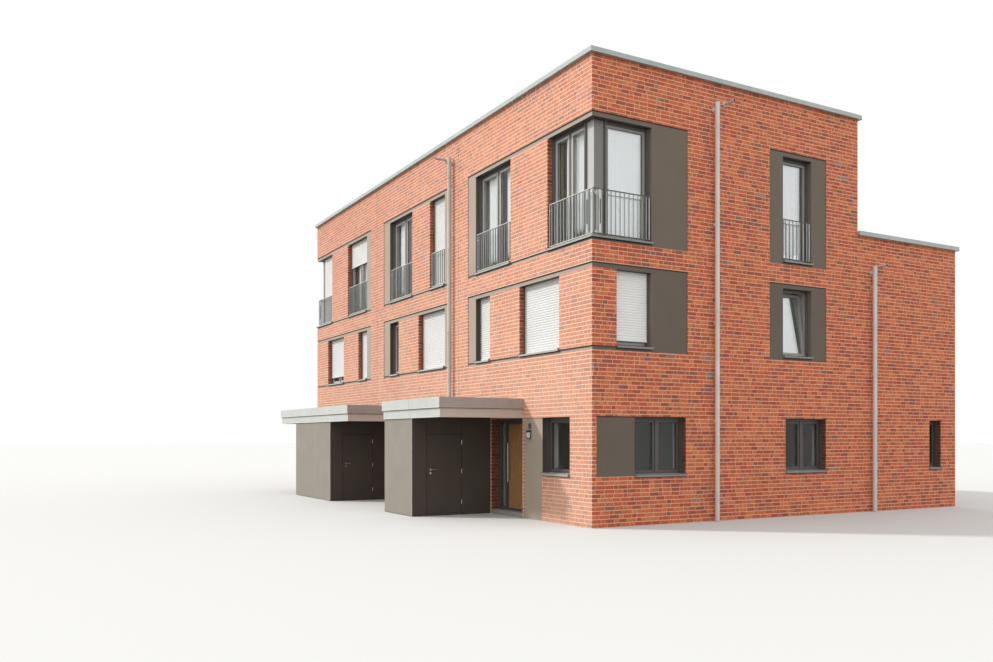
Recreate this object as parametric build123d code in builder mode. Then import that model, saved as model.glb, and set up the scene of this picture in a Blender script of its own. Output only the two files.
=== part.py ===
from build123d import *
import os

# A row of three terraced houses in brick: three storeys at the front, two at the garden side.
# +X runs to the right along the front as seen from the path, -Y is the front, +Z is up.
# The origin is on the ground, at the middle of the row's outer walls. Sizes are in millimetres.
# Front positions are distances to the left of the row's right-hand corner,
# and end wall positions are distances back from the front corner.

# The row's outline
row_length = 16980
row_depth = 11450
upper_depth = 7710
wall = 420
party_wall = 300
party_line = 5750

# Levels above the ground
ground_floor = 100
first_floor = 2900
second_floor = 5700
floor_thickness = 300
rear_roof_layer = 150
roof_top = 8880
roof_thickness = 480
main_wall_top = 9330
rear_wall_top = 6590
coping_height = 100
coping_overhang = 70
coping_joint = 6
movement_joint = 12

# Storey openings
ground_sill = 1000
ground_head = 2205
first_sill = 3595
first_head = 5135
top_sill = 5740
top_head = 8100

# Render set into the brickwork
pocket_depth = 115
render_recess = 15
head_band = 105
sill_band = 75

# Front openings of an end house, from its own end corner
corner_window_front = 1620
top_window = (3165, 4860)
first_wide_window = (1165, 2775)
first_narrow_window = (4130, 4860)
kitchen_window = (775, 1835)
render_end = 5250

# Front openings of the middle house
middle_render = (6140, 10695)
middle_top_windows = [(6565, 7460), (8610, 10245)]
middle_first_windows = [(6565, 8200), (9575, 10245)]
middle_shift = 5580

# End wall openings
corner_window_end = 1500
end_first_window = (600, 1500)
corner_panel_end = 2445
stair_window = (5245, 6165)
stair_render = (4820, 6635)
ground_corner_panel = (110, 1060)
ground_corner_window = (1060, 2400)
dining_window = (5310, 6630)
slit_window = (10400, 10870)

# Garden side openings of each house, from its own right-hand edge as seen from the garden
terrace_door = (1100, 2700)
rear_first_windows = [(1100, 2300), (3400, 4400)]
roof_door = (1100, 2700)
roof_door_step = 100
roof_window = (3400, 4400)
house_width = 5650

# Corner post between the two sides of a corner window
post_setback = 160
post_width = 240

# Windows
frame_setback = 160
frame_depth = 80
frame_width = 55
sash_width = 60
sash_step = 14
pane_thickness = 28
pane_setback = 24
tilt_angle = 6

# Curtains and blinds, hung under the lintels behind the top-floor windows
curtain_setback = 270
curtain_thickness = 30
curtain_gap = 60
front_curtains = [(440, 1290), (1460, 1560), (3240, 3770), (4040, 4640), (8940, 9440), (9540, 10030),
                  (12490, 12910), (13190, 13780)]
end_curtains = [(440, 1460), (5275, 6135)]

# Sills
sill_thickness = 25
sill_lip = 40
sill_projection = 40

# Roller shutters
guide_width = 40
guide_depth = 42
shutter_setback = 130
shutter_thickness = 14
bottom_bar_height = 50
bottom_bar_thickness = 20

# Railings
rail_setback = 35
rail_height = 960
rail_foot = 60
rail_thickness = 30
bar_width = 10
bar_thickness = 24
bar_spacing = 110

# Downpipes and overflow spouts
pipe_radius = 50
pipe_gap = 45
front_pipe = (6090, 8900)
end_pipes = [(3180, 8900), (8210, 5880)]
pipe_foot = 20
branch_drop = 150
bracket_drop = 510
bracket_spacing = 2090
bracket_height = 30
bracket_band = 6
bracket_stem = 24
spout_radius = 30
spout_wall = 4
spout_length = 300
spout_rosette = 55
front_spout = (6480, 8950)
end_spouts = [(3470, 8925), (8380, 5890)]

# Entrance canopies
canopy_projection = 2070
canopy_underside = 2210
canopy_top = 2640
canopy_start = 2580
deck_inset = 50
deck_underside = 2250
deck_top = 2600
fascia_split = 2415
fascia_gap = 12
fascia_step = 30

# Stores under the canopies
store_start = 4100
store_panel = 60
store_door_start = 365
store_door_width = 900
store_door_top = 1860
store_door_recess = 12

# Entrance doors, from the hinge side of the doorway
doorway = (2640, 4070)
door_setback = 200
door_frame_width = 70
door_frame_depth = 90
leaf_width = 950
leaf_thickness = 68
leaf_gap = 8
stop_depth = 16
stop_cover = 10
stop_clearance = 6
handle_radius = 14
handle_standoff = 45
handle_foot = 750
handle_head = 1650
handle_edge = 80
hinge_levels = [350, 1150, 1900]
hinge_radius = 9
hinge_offset = 14
knuckle_height = 45
knuckle_gap = 0.4
hinge_plate = 6

# Wall lamps beside the entrances
lamp_position = 2340
lamp_foot = 1760
lamp_size = (100, 180)
lamp_depth = 80

half_length = row_length / 2
half_depth = row_depth / 2
step_depth = upper_depth - half_depth
inner_x = half_length - wall
inner_y = half_depth - wall
panel_thickness = pocket_depth - render_recess
bands = [
    (top_head, top_head + head_band), (top_sill - sill_band, top_sill),
    (first_head, first_head + head_band), (first_sill - sill_band, first_sill),
]
storeys = [(top_sill - sill_band, top_head + head_band), (first_sill - sill_band, first_head + head_band)]

front = Plane(origin=(0, -half_depth, 0), x_dir=(1, 0, 0), z_dir=(0, -1, 0))
end = Plane(origin=(half_length, 0, 0), x_dir=(0, 1, 0), z_dir=(1, 0, 0))
rear = Plane(origin=(0, half_depth, 0), x_dir=(-1, 0, 0), z_dir=(0, 1, 0))
upper_rear = Plane(origin=(0, step_depth, 0), x_dir=(-1, 0, 0), z_dir=(0, 1, 0))


def along(span):
    """Turns a span on the front, from the right-hand corner, into positions across the front plane."""
    return half_length - span[1], half_length - span[0]


def back(span):
    """Turns a span on an end wall, from the front corner, into positions across the end plane."""
    return span[0] - half_depth, span[1] - half_depth


def flip(span):
    """The same span seen from the other end of the row."""
    return row_length - span[1], row_length - span[0]


def shift(span):
    """The span of an end house moved to the middle house."""
    return span[0] + middle_shift, span[1] + middle_shift


def area(span, foot, head, mode=Mode.ADD):
    """A rectangle in a wall sketch between two positions and two levels."""
    with Locations(((span[0] + span[1]) / 2, (foot + head) / 2)):
        Rectangle(span[1] - span[0], head - foot, mode=mode)


def areas(rectangles, mode=Mode.ADD):
    """Several rectangles in a wall sketch, each a span with its foot and head, added in one step."""
    shapes = [Pos((span[0] + span[1]) / 2, (foot + head) / 2)
              * Rectangle(span[1] - span[0], head - foot, mode=Mode.PRIVATE) for span, foot, head in rectangles]
    add(shapes, mode=mode)


def slab(low_x, high_x, low_y, high_y, foot, head, mode=Mode.ADD):
    """A level block between two levels."""
    with Locations(((low_x + high_x) / 2, (low_y + high_y) / 2, foot)):
        Box(high_x - low_x, high_y - low_y, head - foot, align=(Align.CENTER, Align.CENTER, Align.MIN), mode=mode)


# Each window is its span across the wall, its sill and head, the number of leaves,
# and how much of the opening the shutter covers.
post_edge = post_setback + post_width
corner_front = (post_edge, corner_window_front)
corner_end = (post_edge, corner_window_end)
front_windows = [
    (along(corner_front), top_sill, top_head, 2, 0),
    (along(top_window), top_sill, top_head, 2, 0),
    (along(middle_top_windows[0]), top_sill, top_head, 1, 1),
    (along(middle_top_windows[1]), top_sill, top_head, 2, 0),
    (along(flip(top_window)), top_sill, top_head, 2, 0.33),
    (along(flip(corner_front)), top_sill, top_head, 2, 1),
    (along(first_wide_window), first_sill, first_head, 2, 1),
    (along(first_narrow_window), first_sill, first_head, 1, 1),
    (along(middle_first_windows[0]), first_sill, first_head, 2, 1),
    (along(middle_first_windows[1]), first_sill, first_head, 1, 0),
    (along(flip(first_narrow_window)), first_sill, first_head, 1, 1),
    (along(flip(first_wide_window)), first_sill, first_head, 2, 0.86),
    (along(kitchen_window), ground_sill, ground_head, 1, 0),
    (along(shift(kitchen_window)), ground_sill, ground_head, 1, 0),
    (along(flip(kitchen_window)), ground_sill, ground_head, 1, 0),
]
end_windows = [
    (back(corner_end), top_sill, top_head, 1, 0),
    (back(stair_window), top_sill, top_head, 1, 0),
    (back(end_first_window), first_sill, first_head, 1, 0.93),
    (back(ground_corner_window), ground_sill, ground_head, 2, 0),
    (back(dining_window), ground_sill, ground_head, 2, 0),
    (back(slit_window), ground_sill, ground_head, 1, 0),
]
tilted_window = (back(stair_window), first_sill, first_head, 1, 0)
house_edges = [-half_length, -house_width / 2, house_width / 2]
rear_windows = []
upper_rear_windows = []
for edge in house_edges:
    rear_windows.append(((edge + terrace_door[0], edge + terrace_door[1]), ground_floor, ground_head, 2, 0))
    for low, high in rear_first_windows:
        rear_windows.append(((edge + low, edge + high), first_sill, first_head, 1, 0))
    upper_rear_windows.append(((edge + roof_door[0], edge + roof_door[1]),
                               second_floor + rear_roof_layer + roof_door_step, top_head, 2, 0))
    upper_rear_windows.append(((edge + roof_window[0], edge + roof_window[1]), top_sill + 900, top_head, 1, 0))

right_x = along((0, party_line))[0]
party_faces = [(right_x - party_wall / 2, right_x + party_wall / 2),
               (-right_x - party_wall / 2, -right_x + party_wall / 2)]
room_spans = [(party_faces[0][1], inner_x), (party_faces[1][1], party_faces[0][0]), (-inner_x, party_faces[1][0])]
doorways = [along(doorway), along(shift(doorway)), along(flip(doorway))]
canopies = [along((canopy_start, party_line)),
            along((canopy_start + middle_shift, row_length - canopy_start))]
parts = {}


def keep(name, shape):
    """Stores a finished piece under its node name."""
    shape.label = name
    parts[name] = shape


# Ground slab, carried through the doorways to the front face
with BuildPart() as ground_slab:
    slab(-inner_x, inner_x, -inner_y, inner_y, 0, ground_floor)
    for low, high in doorways:
        slab(low, high, -half_depth, -inner_y, 0, ground_floor)
keep("ground_slab", ground_slab.part)

# Upper floors, one slab to each house, between the party walls
with BuildPart() as first_floor_slab:
    for low, high in room_spans:
        slab(low, high, -inner_y, inner_y, first_floor - floor_thickness, first_floor)
keep("first_floor_slab", first_floor_slab.part)

with BuildPart() as second_floor_slab:
    for low, high in room_spans:
        slab(low, high, -inner_y, inner_y, second_floor - floor_thickness, second_floor)
keep("second_floor_slab", second_floor_slab.part)

with BuildPart() as main_roof_slab:
    slab(-inner_x, inner_x, -inner_y, step_depth - wall, roof_top - roof_thickness, roof_top)
keep("main_roof_slab", main_roof_slab.part)

with BuildPart() as rear_roof:
    slab(-inner_x, inner_x, step_depth, inner_y, second_floor, second_floor + rear_roof_layer)
keep("rear_roof", rear_roof.part)

# Party walls step down with the building
with BuildPart() as party_walls:
    for low, high in party_faces:
        slab(low, high, -inner_y, step_depth - wall, ground_floor, roof_top - roof_thickness)
        slab(low, high, step_depth - wall, inner_y, ground_floor, second_floor)
keep("party_walls", party_walls.part)

# End walls hold the corners, so a corner window cuts away the whole corner of its storey
with BuildPart() as right_end_wall:
    with BuildSketch(end):
        area(back((0, upper_depth)), 0, main_wall_top)
        area(back((upper_depth, row_depth)), 0, rear_wall_top)
        area(back((0, corner_window_end)), top_sill, top_head, Mode.SUBTRACT)
        for span, sill, head, leaves, shutter in end_windows + [tilted_window]:
            area(span, sill, head, Mode.SUBTRACT)
    extrude(amount=-wall)
    with BuildSketch(end):
        for foot, head in bands:
            area(back((0, corner_panel_end)), foot, head)
        for foot, head in storeys:
            area(back((corner_window_end, corner_panel_end)), foot, head)
            area(back(stair_render), foot, head)
        area(back(ground_corner_panel), ground_sill, ground_head)
    extrude(amount=-pocket_depth, mode=Mode.SUBTRACT)
    with BuildSketch(front):
        for foot, head in bands:
            area(along((0, wall)), foot, head)
    extrude(amount=-pocket_depth, mode=Mode.SUBTRACT)
keep("right_end_wall", right_end_wall.part)

with BuildPart() as left_end_wall:
    mirror(right_end_wall.part, about=Plane.YZ)
keep("left_end_wall", left_end_wall.part)


def reach_corners(window, reach):
    """A front window's span, carried on to the given corner position where it is a corner window."""
    low, high = window[0]
    post_face = half_length - post_edge
    return (-reach if abs(low + post_face) < 1 else low, reach if abs(high - post_face) < 1 else high)


def front_wall_length(span, foot, head):
    """A length of front wall between two positions, with its windows and render pockets cut in."""
    with BuildSketch(front) as outline:
        area(span, foot, head)
        areas([(reach_corners(window, half_length), window[1], window[2]) for window in front_windows],
              Mode.SUBTRACT)
    extrude(outline.sketch, amount=-wall)
    with BuildSketch(front) as outline:
        front_bands(half_length)
        front_panels()
    extrude(outline.sketch, amount=-pocket_depth, mode=Mode.SUBTRACT)


def front_bands(corner):
    """The render bands over and under the front windows, out to the given corner position."""
    low, high = along((0, render_end))
    for foot, head in bands:
        area((low, corner), foot, head)
        area(along(middle_render), foot, head)
        area((-corner, -low), foot, head)


def front_panels():
    """The upright render strips at the party lines, and the panels beside the entrances."""
    end_strip = (top_window[1], render_end)
    strips = [end_strip, flip(end_strip), (middle_render[0], middle_top_windows[0][0]),
              (middle_top_windows[1][1], middle_render[1])]
    entrance_panel = (kitchen_window[1], canopy_start)
    areas([(along(strip), sill, head) for strip in strips
           for sill, head in ((top_sill, top_head), (first_sill, first_head))])
    areas([(along(panel), 0, ground_head)
           for panel in (entrance_panel, shift(entrance_panel), flip(entrance_panel))])


# The front wall stands in three lengths with movement joints on the party lines,
# and its ground storey in lengths between the doorways.
half_joint = movement_joint / 2
with BuildPart() as front_wall:
    for span in ((right_x + half_joint, inner_x), (-right_x + half_joint, right_x - half_joint),
                 (-inner_x, -right_x - half_joint)):
        front_wall_length(span, ground_head, main_wall_top)
keep("front_wall", front_wall.part)

with BuildPart() as front_ground_wall:
    for span in ((doorways[0][1], inner_x), (doorways[1][1], doorways[0][0]),
                 (doorways[2][1], doorways[1][0]), (-inner_x, doorways[2][0])):
        front_wall_length(span, 0, ground_head)
keep("front_ground_wall", front_ground_wall.part)

with BuildPart() as rear_wall:
    with BuildSketch(rear):
        area((-inner_x, inner_x), 0, rear_wall_top)
        for span, sill, head, leaves, shutter in rear_windows:
            area(span, sill, head, Mode.SUBTRACT)
    extrude(amount=-wall)
keep("rear_wall", rear_wall.part)

with BuildPart() as upper_rear_wall:
    with BuildSketch(upper_rear):
        area((-inner_x, inner_x), second_floor, main_wall_top)
        for span, sill, head, leaves, shutter in upper_rear_windows:
            area(span, sill, head, Mode.SUBTRACT)
    extrude(amount=-wall)
keep("upper_rear_wall", upper_rear_wall.part)

# Copings: straight lengths with open joints at the corners
with BuildPart() as main_coping:
    out = coping_overhang
    top = main_wall_top + coping_height
    for low, high in ((-half_depth - out, -inner_y + out), (step_depth - wall - out, step_depth + out)):
        slab(-half_length - out, half_length + out, low, high, main_wall_top, top)
    for low, high in ((-half_length - out, -inner_x + out), (inner_x - out, half_length + out)):
        slab(low, high, -inner_y + out + coping_joint, step_depth - wall - out - coping_joint,
             main_wall_top, top)
keep("main_coping", main_coping.part)

with BuildPart() as rear_coping:
    top = rear_wall_top + coping_height
    slab(-half_length - out, half_length + out, inner_y - out, half_depth + out, rear_wall_top, top)
    for low, high in ((-half_length - out, -inner_x + out), (inner_x - out, half_length + out)):
        slab(low, high, step_depth, inner_y - out - coping_joint, rear_wall_top, top)
keep("rear_coping", rear_coping.part)

# Render
with BuildPart() as front_render_bands:
    with BuildSketch(front.offset(-render_recess)):
        front_bands(half_length - render_recess)
    extrude(amount=-panel_thickness)
keep("front_render_bands", front_render_bands.part)

with BuildPart() as front_render_panels:
    with BuildSketch(front.offset(-render_recess)):
        front_panels()
    extrude(amount=-panel_thickness)
keep("front_render_panels", front_render_panels.part)

with BuildPart() as end_render_bands:
    with BuildSketch(end.offset(-render_recess)):
        for foot, head in bands:
            area(back((pocket_depth, corner_panel_end)), foot, head)
            area(back(stair_render), foot, head)
    extrude(amount=-panel_thickness)
    mirror(about=Plane.YZ)
keep("end_render_bands", end_render_bands.part)

with BuildPart() as end_render_panels:
    with BuildSketch(end.offset(-render_recess)):
        for sill, head in ((top_sill, top_head), (first_sill, first_head)):
            area(back((corner_window_end, corner_panel_end)), sill, head)
            area(back((stair_render[0], stair_window[0])), sill, head)
            area(back((stair_window[1], stair_render[1])), sill, head)
        area(back(ground_corner_panel), ground_sill, ground_head)
    extrude(amount=-panel_thickness)
    mirror(about=Plane.YZ)
keep("end_render_panels", end_render_panels.part)

with BuildPart() as corner_posts:
    post_x = half_length - post_setback
    post_y = -half_depth + post_setback
    slab(post_x - post_width, post_x, post_y, post_y + post_width, top_sill, top_head)
    mirror(about=Plane.YZ)
keep("corner_posts", corner_posts.part)


def leaf_spans(window):
    """The spans of a window's leaves across the wall."""
    (low, high), sill, head, leaves, shutter = window
    low, high = low + frame_width, high - frame_width
    if leaves == 1:
        return [(low, high)]
    middle = (low + high) / 2
    return [(low, middle - frame_width / 2), (middle + frame_width / 2, high)]


def window_frames_in(plane, windows):
    """Outer frames, with a mullion where there are two leaves, and sashes set back within them."""
    rings, holes, leaves, panes = [], [], [], []
    for window in windows:
        span, sill, head = window[:3]
        rings.append((span, sill, head))
        for low, high in leaf_spans(window):
            holes.append(((low, high), sill + frame_width, head - frame_width))
            edge = frame_width + sash_width
            panes.append(((low + sash_width, high - sash_width), sill + edge, head - edge))
    with BuildSketch(plane.offset(-frame_setback)) as outline:
        areas(rings)
        areas(holes, Mode.SUBTRACT)
    extrude(outline.sketch, amount=-frame_depth)
    with BuildSketch(plane.offset(-frame_setback - sash_step)) as outline:
        areas(holes)
        areas(panes, Mode.SUBTRACT)
    extrude(outline.sketch, amount=-(frame_depth - sash_step))


def tilted_leaf(plane, window):
    """The outer face of a bottom-hung sash that leans in at the top, and its width and height."""
    (low, high), sill, head = window[:3]
    corner = plane.from_local_coords(((low + high) / 2, sill + frame_width, -frame_setback - sash_step))
    outward = plane.z_dir.rotate(Axis((0, 0, 0), plane.x_dir), -tilt_angle)
    face = Plane(origin=corner, x_dir=plane.x_dir, z_dir=outward)
    return face, high - low - 2 * frame_width, head - sill - 2 * frame_width


def window_panes_in(plane, windows):
    """The glass of every leaf in a list of windows."""
    edge = frame_width + sash_width
    with BuildSketch(plane.offset(-frame_setback - sash_step - pane_setback)) as outline:
        areas([((low + sash_width, high - sash_width), window[1] + edge, window[2] - edge)
               for window in windows for low, high in leaf_spans(window)])
    extrude(outline.sketch, amount=-pane_thickness)


def shutter_guides(plane, windows):
    """The two upright guides that each shutter runs in, in front of its window frame."""
    guides = []
    for (low, high), sill, head, leaves, shutter in windows:
        guides.append(((low, low + guide_width), sill + sill_thickness, head))
        guides.append(((high - guide_width, high), sill + sill_thickness, head))
    with BuildSketch(plane.offset(-frame_setback + guide_depth)) as outline:
        areas(guides)
    extrude(outline.sketch, amount=-guide_depth)


def shutters_in(plane, windows):
    """The lowered shutter curtains, each with a heavier bottom bar."""
    curtains, bars = [], []
    for (low, high), sill, head, leaves, cover in windows:
        if cover > 0:
            foot = head - cover * (head - sill - sill_thickness)
            curtains.append(((low + guide_width, high - guide_width), foot, head))
            bars.append(((low + guide_width, high - guide_width), foot, foot + bottom_bar_height))
    with BuildSketch(plane.offset(-shutter_setback)) as outline:
        areas(curtains)
    extrude(outline.sketch, amount=-shutter_thickness)
    middle = shutter_setback + shutter_thickness / 2
    with BuildSketch(plane.offset(-middle + bottom_bar_thickness / 2)) as outline:
        areas(bars)
    extrude(outline.sketch, amount=-bottom_bar_thickness)


def sills_in(plane, spans):
    """Metal sills, each from its window frame to a lip in front of the wall."""
    with BuildSketch(plane.offset(sill_projection)) as outline:
        areas([(span, level, level + sill_thickness) for span, level in spans])
    extrude(outline.sketch, amount=-(sill_projection + frame_setback))
    with BuildSketch(plane.offset(sill_projection)) as outline:
        areas([(span, level + sill_thickness - sill_lip, level) for span, level in spans])
    extrude(outline.sketch, amount=-sill_projection / 3)


def railings_in(plane, spans):
    """Flat-bar railings across tall openings: two rails with upright bars between them."""
    foot, head = top_sill + rail_foot, top_sill + rail_height
    with BuildSketch(plane.offset(-rail_setback)) as outline:
        areas([(span, foot, foot + rail_thickness) for span in spans])
        areas([(span, head - rail_thickness, head) for span in spans])
    extrude(outline.sketch, amount=-rail_thickness)
    bars = []
    for low, high in spans:
        count = round((high - low) / bar_spacing)
        pitch = (high - low) / count
        bars += [((low + number * pitch - bar_width / 2, low + number * pitch + bar_width / 2),
                  foot + rail_thickness, head - rail_thickness) for number in range(1, count)]
    with BuildSketch(plane.offset(-rail_setback - (rail_thickness - bar_thickness) / 2)) as outline:
        areas(bars)
    extrude(outline.sketch, amount=-bar_thickness)


with BuildPart() as window_frames:
    window_frames_in(end, end_windows)
    shutter_guides(end, end_windows + [tilted_window])
    tilted_face, tilted_width, tilted_height = tilted_leaf(end, tilted_window)
    with BuildSketch(end.offset(-frame_setback)):
        area(tilted_window[0], first_sill, first_head)
        area(leaf_spans(tilted_window)[0], first_sill + frame_width, first_head - frame_width, Mode.SUBTRACT)
    extrude(amount=-frame_depth)
    with BuildSketch(tilted_face):
        area((-tilted_width / 2, tilted_width / 2), 0, tilted_height)
        area((sash_width - tilted_width / 2, tilted_width / 2 - sash_width),
             sash_width, tilted_height - sash_width, Mode.SUBTRACT)
    extrude(amount=-(frame_depth - sash_step))
    mirror(about=Plane.YZ)
    window_frames_in(front, front_windows)
    shutter_guides(front, front_windows)
    window_frames_in(rear, rear_windows)
    window_frames_in(upper_rear, upper_rear_windows)
keep("window_frames", window_frames.part)

with BuildPart() as window_panes:
    window_panes_in(end, end_windows)
    with BuildSketch(tilted_face.offset(-pane_setback)):
        area((sash_width - tilted_width / 2, tilted_width / 2 - sash_width),
             sash_width, tilted_height - sash_width)
    extrude(amount=-pane_thickness)
    mirror(about=Plane.YZ)
    window_panes_in(front, front_windows)
    window_panes_in(rear, rear_windows)
    window_panes_in(upper_rear, upper_rear_windows)
keep("window_panes", window_panes.part)

with BuildPart() as roller_shutters:
    shutters_in(front, front_windows)
    shutters_in(end, end_windows)
keep("roller_shutters", roller_shutters.part)


def curtains_in(plane, spans):
    """Cloth behind the panes, from under the lintel to a little above the sill."""
    with BuildSketch(plane.offset(-curtain_setback)) as outline:
        areas([(span, top_sill + curtain_gap, top_head) for span in spans])
    extrude(outline.sketch, amount=-curtain_thickness)


with BuildPart() as curtains:
    curtains_in(end, [back(span) for span in end_curtains])
    mirror(about=Plane.YZ)
    curtains_in(front, [along(span) for span in front_curtains])
keep("curtains", curtains.part)


# Sills
with BuildPart() as front_sills:
    sills_in(front, [(reach_corners(window, half_length + sill_projection), window[1]) for window in front_windows])
keep("front_sills", front_sills.part)

with BuildPart() as end_sills:
    spans = [(window[0], window[1]) for window in end_windows[1:] + [tilted_window]]
    sills_in(end, spans + [(back((post_setback, corner_window_end)), top_sill)])
    mirror(about=Plane.YZ)
keep("end_sills", end_sills.part)

with BuildPart() as rear_sills:
    sills_in(rear, [(window[0], window[1]) for window in rear_windows])
    sills_in(upper_rear, [(window[0], window[1]) for window in upper_rear_windows])
keep("rear_sills", rear_sills.part)

# Railings across the tall top-floor windows; those at a corner meet on the corner
with BuildPart() as front_railings:
    railings_in(front, [reach_corners(window, half_length - rail_setback)
                        for window in front_windows if window[1] == top_sill])
keep("front_railings", front_railings.part)

with BuildPart() as end_railings:
    railings_in(end, [back((rail_setback + rail_thickness, corner_window_end)), back(stair_window)])
    mirror(about=Plane.YZ)
keep("end_railings", end_railings.part)


def downpipe(x, y, outward, top):
    """A round downpipe with a branch to the wall under its head, and brackets back to the wall."""
    inward = -outward
    gap = pipe_radius + pipe_gap
    axis_x, axis_y = x + outward.X * gap, y + outward.Y * gap
    with Locations((axis_x, axis_y, pipe_foot)):
        Cylinder(pipe_radius, top - pipe_foot, align=(Align.CENTER, Align.CENTER, Align.MIN))
    branch = Plane(origin=(axis_x, axis_y, top - branch_drop), z_dir=inward)
    with BuildSketch(branch) as outline:
        Circle(pipe_radius)
    extrude(outline.sketch, amount=gap)
    count = int(top // bracket_spacing)
    for number in range(count + 1):
        level = top - bracket_drop - number * bracket_spacing
        if level > 200:
            with Locations((axis_x, axis_y, level)):
                Cylinder(pipe_radius + bracket_band, bracket_height)
            stem = Plane(origin=(axis_x, axis_y, level), z_dir=inward)
            with BuildSketch(stem) as outline:
                Rectangle(bracket_stem, bracket_stem)
            extrude(outline.sketch, amount=gap)


def spout(x, y, outward, level):
    """An overflow spout: a rosette on the wall and a short open tube."""
    with BuildSketch(Plane(origin=(x, y, level), z_dir=outward)) as outline:
        Circle(spout_radius)
        Circle(spout_radius - spout_wall, mode=Mode.SUBTRACT)
    extrude(outline.sketch, amount=spout_length)
    with BuildSketch(Plane(origin=(x, y, level), z_dir=outward)) as outline:
        Circle(spout_rosette)
        Circle(spout_radius - spout_wall, mode=Mode.SUBTRACT)
    extrude(outline.sketch, amount=spout_wall)


ahead = Vector(0, -1, 0)
sideways = Vector(1, 0, 0)
with BuildPart() as downpipes:
    for distance, top in end_pipes:
        downpipe(half_length, distance - half_depth, sideways, top)
    mirror(about=Plane.YZ)
    downpipe(half_length - front_pipe[0], -half_depth, ahead, front_pipe[1])
keep("downpipes", downpipes.part)

with BuildPart() as overflow_spouts:
    for distance, level in end_spouts:
        spout(half_length, distance - half_depth, sideways, level)
    mirror(about=Plane.YZ)
    spout(half_length - front_spout[0], -half_depth, ahead, front_spout[1])
keep("overflow_spouts", overflow_spouts.part)

# Entrance canopies: a deck with an upper fascia standing proud of a lower one
canopy_front = -half_depth - canopy_projection
with BuildPart() as canopy_decks:
    for low, high in canopies:
        slab(low + deck_inset, high - deck_inset, canopy_front + deck_inset, -half_depth, deck_underside, deck_top)
keep("canopy_decks", canopy_decks.part)

fascias = [(0, fascia_split, canopy_top), (fascia_step, canopy_underside, fascia_split - fascia_gap)]
with BuildPart() as canopy_fascias:
    for low, high in canopies:
        for inset, foot, head in fascias:
            slab(low + inset, high - inset, canopy_front + inset, canopy_front + deck_inset, foot, head)
keep("canopy_fascias", canopy_fascias.part)

with BuildPart() as canopy_side_fascias:
    for low, high in canopies:
        for inset, foot, head in fascias:
            slab(low + inset, low + deck_inset, canopy_front + deck_inset, -half_depth, foot, head)
            slab(high - deck_inset, high - inset, canopy_front + deck_inset, -half_depth, foot, head)
keep("canopy_side_fascias", canopy_side_fascias.part)

# Stores under the canopies, one at the end of the right canopy and two side by side under the left one
store_front = canopy_front + deck_inset
store_edge = half_length - store_start
shifted_edge = store_edge - middle_shift
store_blocks = [(canopies[0][0] + deck_inset, store_edge), (-store_edge, shifted_edge)]
divider = (-right_x - store_panel / 2, -right_x + store_panel / 2)
store_door_span = (store_front + store_door_start, store_front + store_door_start + store_door_width)


def from_side(edge, side, near, far):
    """A span between two distances in from a store's side face, whose outside lies towards the given side."""
    return tuple(sorted((edge - side * near, edge - side * far)))


# The doors are in the side faces, under the canopies: each is the face's position and the way it looks.
store_doorways = [(store_edge, 1), (shifted_edge, 1), (-store_edge, -1)]
with BuildPart() as store_fronts:
    for low, high in store_blocks:
        slab(low, high, store_front, store_front + store_panel, 0, deck_underside)
keep("store_fronts", store_fronts.part)

with BuildPart() as store_sides:
    for low, high in store_blocks:
        for face in (low, high - store_panel):
            slab(face, face + store_panel, store_front + store_panel, -half_depth, 0, deck_underside)
    slab(*divider, store_front + store_panel, -half_depth, 0, deck_underside)
    for edge, side in store_doorways:
        slab(*from_side(edge, side, 0, store_panel), *store_door_span, 0, store_door_top, Mode.SUBTRACT)
keep("store_sides", store_sides.part)

with BuildPart() as store_doors:
    for edge, side in store_doorways:
        slab(*from_side(edge, side, store_door_recess, store_panel), *store_door_span, 0, store_door_top)
keep("store_doors", store_doors.part)

# Entrances. Distances run from the hinge side of the doorway.
leaf_start = door_frame_width + leaf_gap
leaf_end = leaf_start + leaf_width
post_start = leaf_end + leaf_gap
light_start = post_start + door_frame_width
doorway_width = doorway[1] - doorway[0]
light_end = doorway_width - door_frame_width
leaf_foot = ground_floor + leaf_gap
leaf_head = ground_head - door_frame_width - leaf_gap
frame_inner = -half_depth + door_setback + door_frame_depth
pivot_y = frame_inner + hinge_offset


def door_span(edge, side, start, finish):
    """A span across a doorway, from the hinge edge towards the given side."""
    return tuple(sorted((edge + side * start, edge + side * finish)))


def entrance_frame_piece(edge, side, gap):
    """A door frame with a narrow sidelight, and stops in front of the leaf."""
    with BuildSketch(front.offset(-door_setback)) as outline:
        area(door_span(edge, side, 0, doorway_width), ground_floor, ground_head)
        area(door_span(edge, side, door_frame_width, post_start), ground_floor, ground_head - door_frame_width,
             Mode.SUBTRACT)
        area(door_span(edge, side, light_start, light_end), ground_floor + door_frame_width,
             ground_head - door_frame_width, Mode.SUBTRACT)
    extrude(outline.sketch, amount=-door_frame_depth)
    if gap:
        with BuildSketch(front.offset(-door_setback)) as outline:
            area(door_span(edge, side, door_frame_width, post_start), ground_floor, ground_head - door_frame_width)
            area(door_span(edge, side, leaf_start + stop_cover, leaf_end - stop_cover), ground_floor,
                 leaf_head - stop_cover, Mode.SUBTRACT)
        extrude(outline.sketch, amount=-stop_depth)


def pull_handle(edge, side):
    """An upright bar handle on two stand-offs, near the free edge of the leaf."""
    leaf_face = -half_depth + door_setback + door_frame_depth - leaf_thickness
    x = edge + side * (leaf_end - handle_edge)
    y = leaf_face - handle_standoff
    with Locations((x, y, handle_foot)):
        Cylinder(handle_radius, handle_head - handle_foot, align=(Align.CENTER, Align.CENTER, Align.MIN))
    for level in (handle_foot + 100, handle_head - 100):
        with BuildSketch(Plane(origin=(x, y, level), z_dir=(0, 1, 0))) as outline:
            Circle(handle_radius * 0.7)
        extrude(outline.sketch, amount=handle_standoff)


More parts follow.
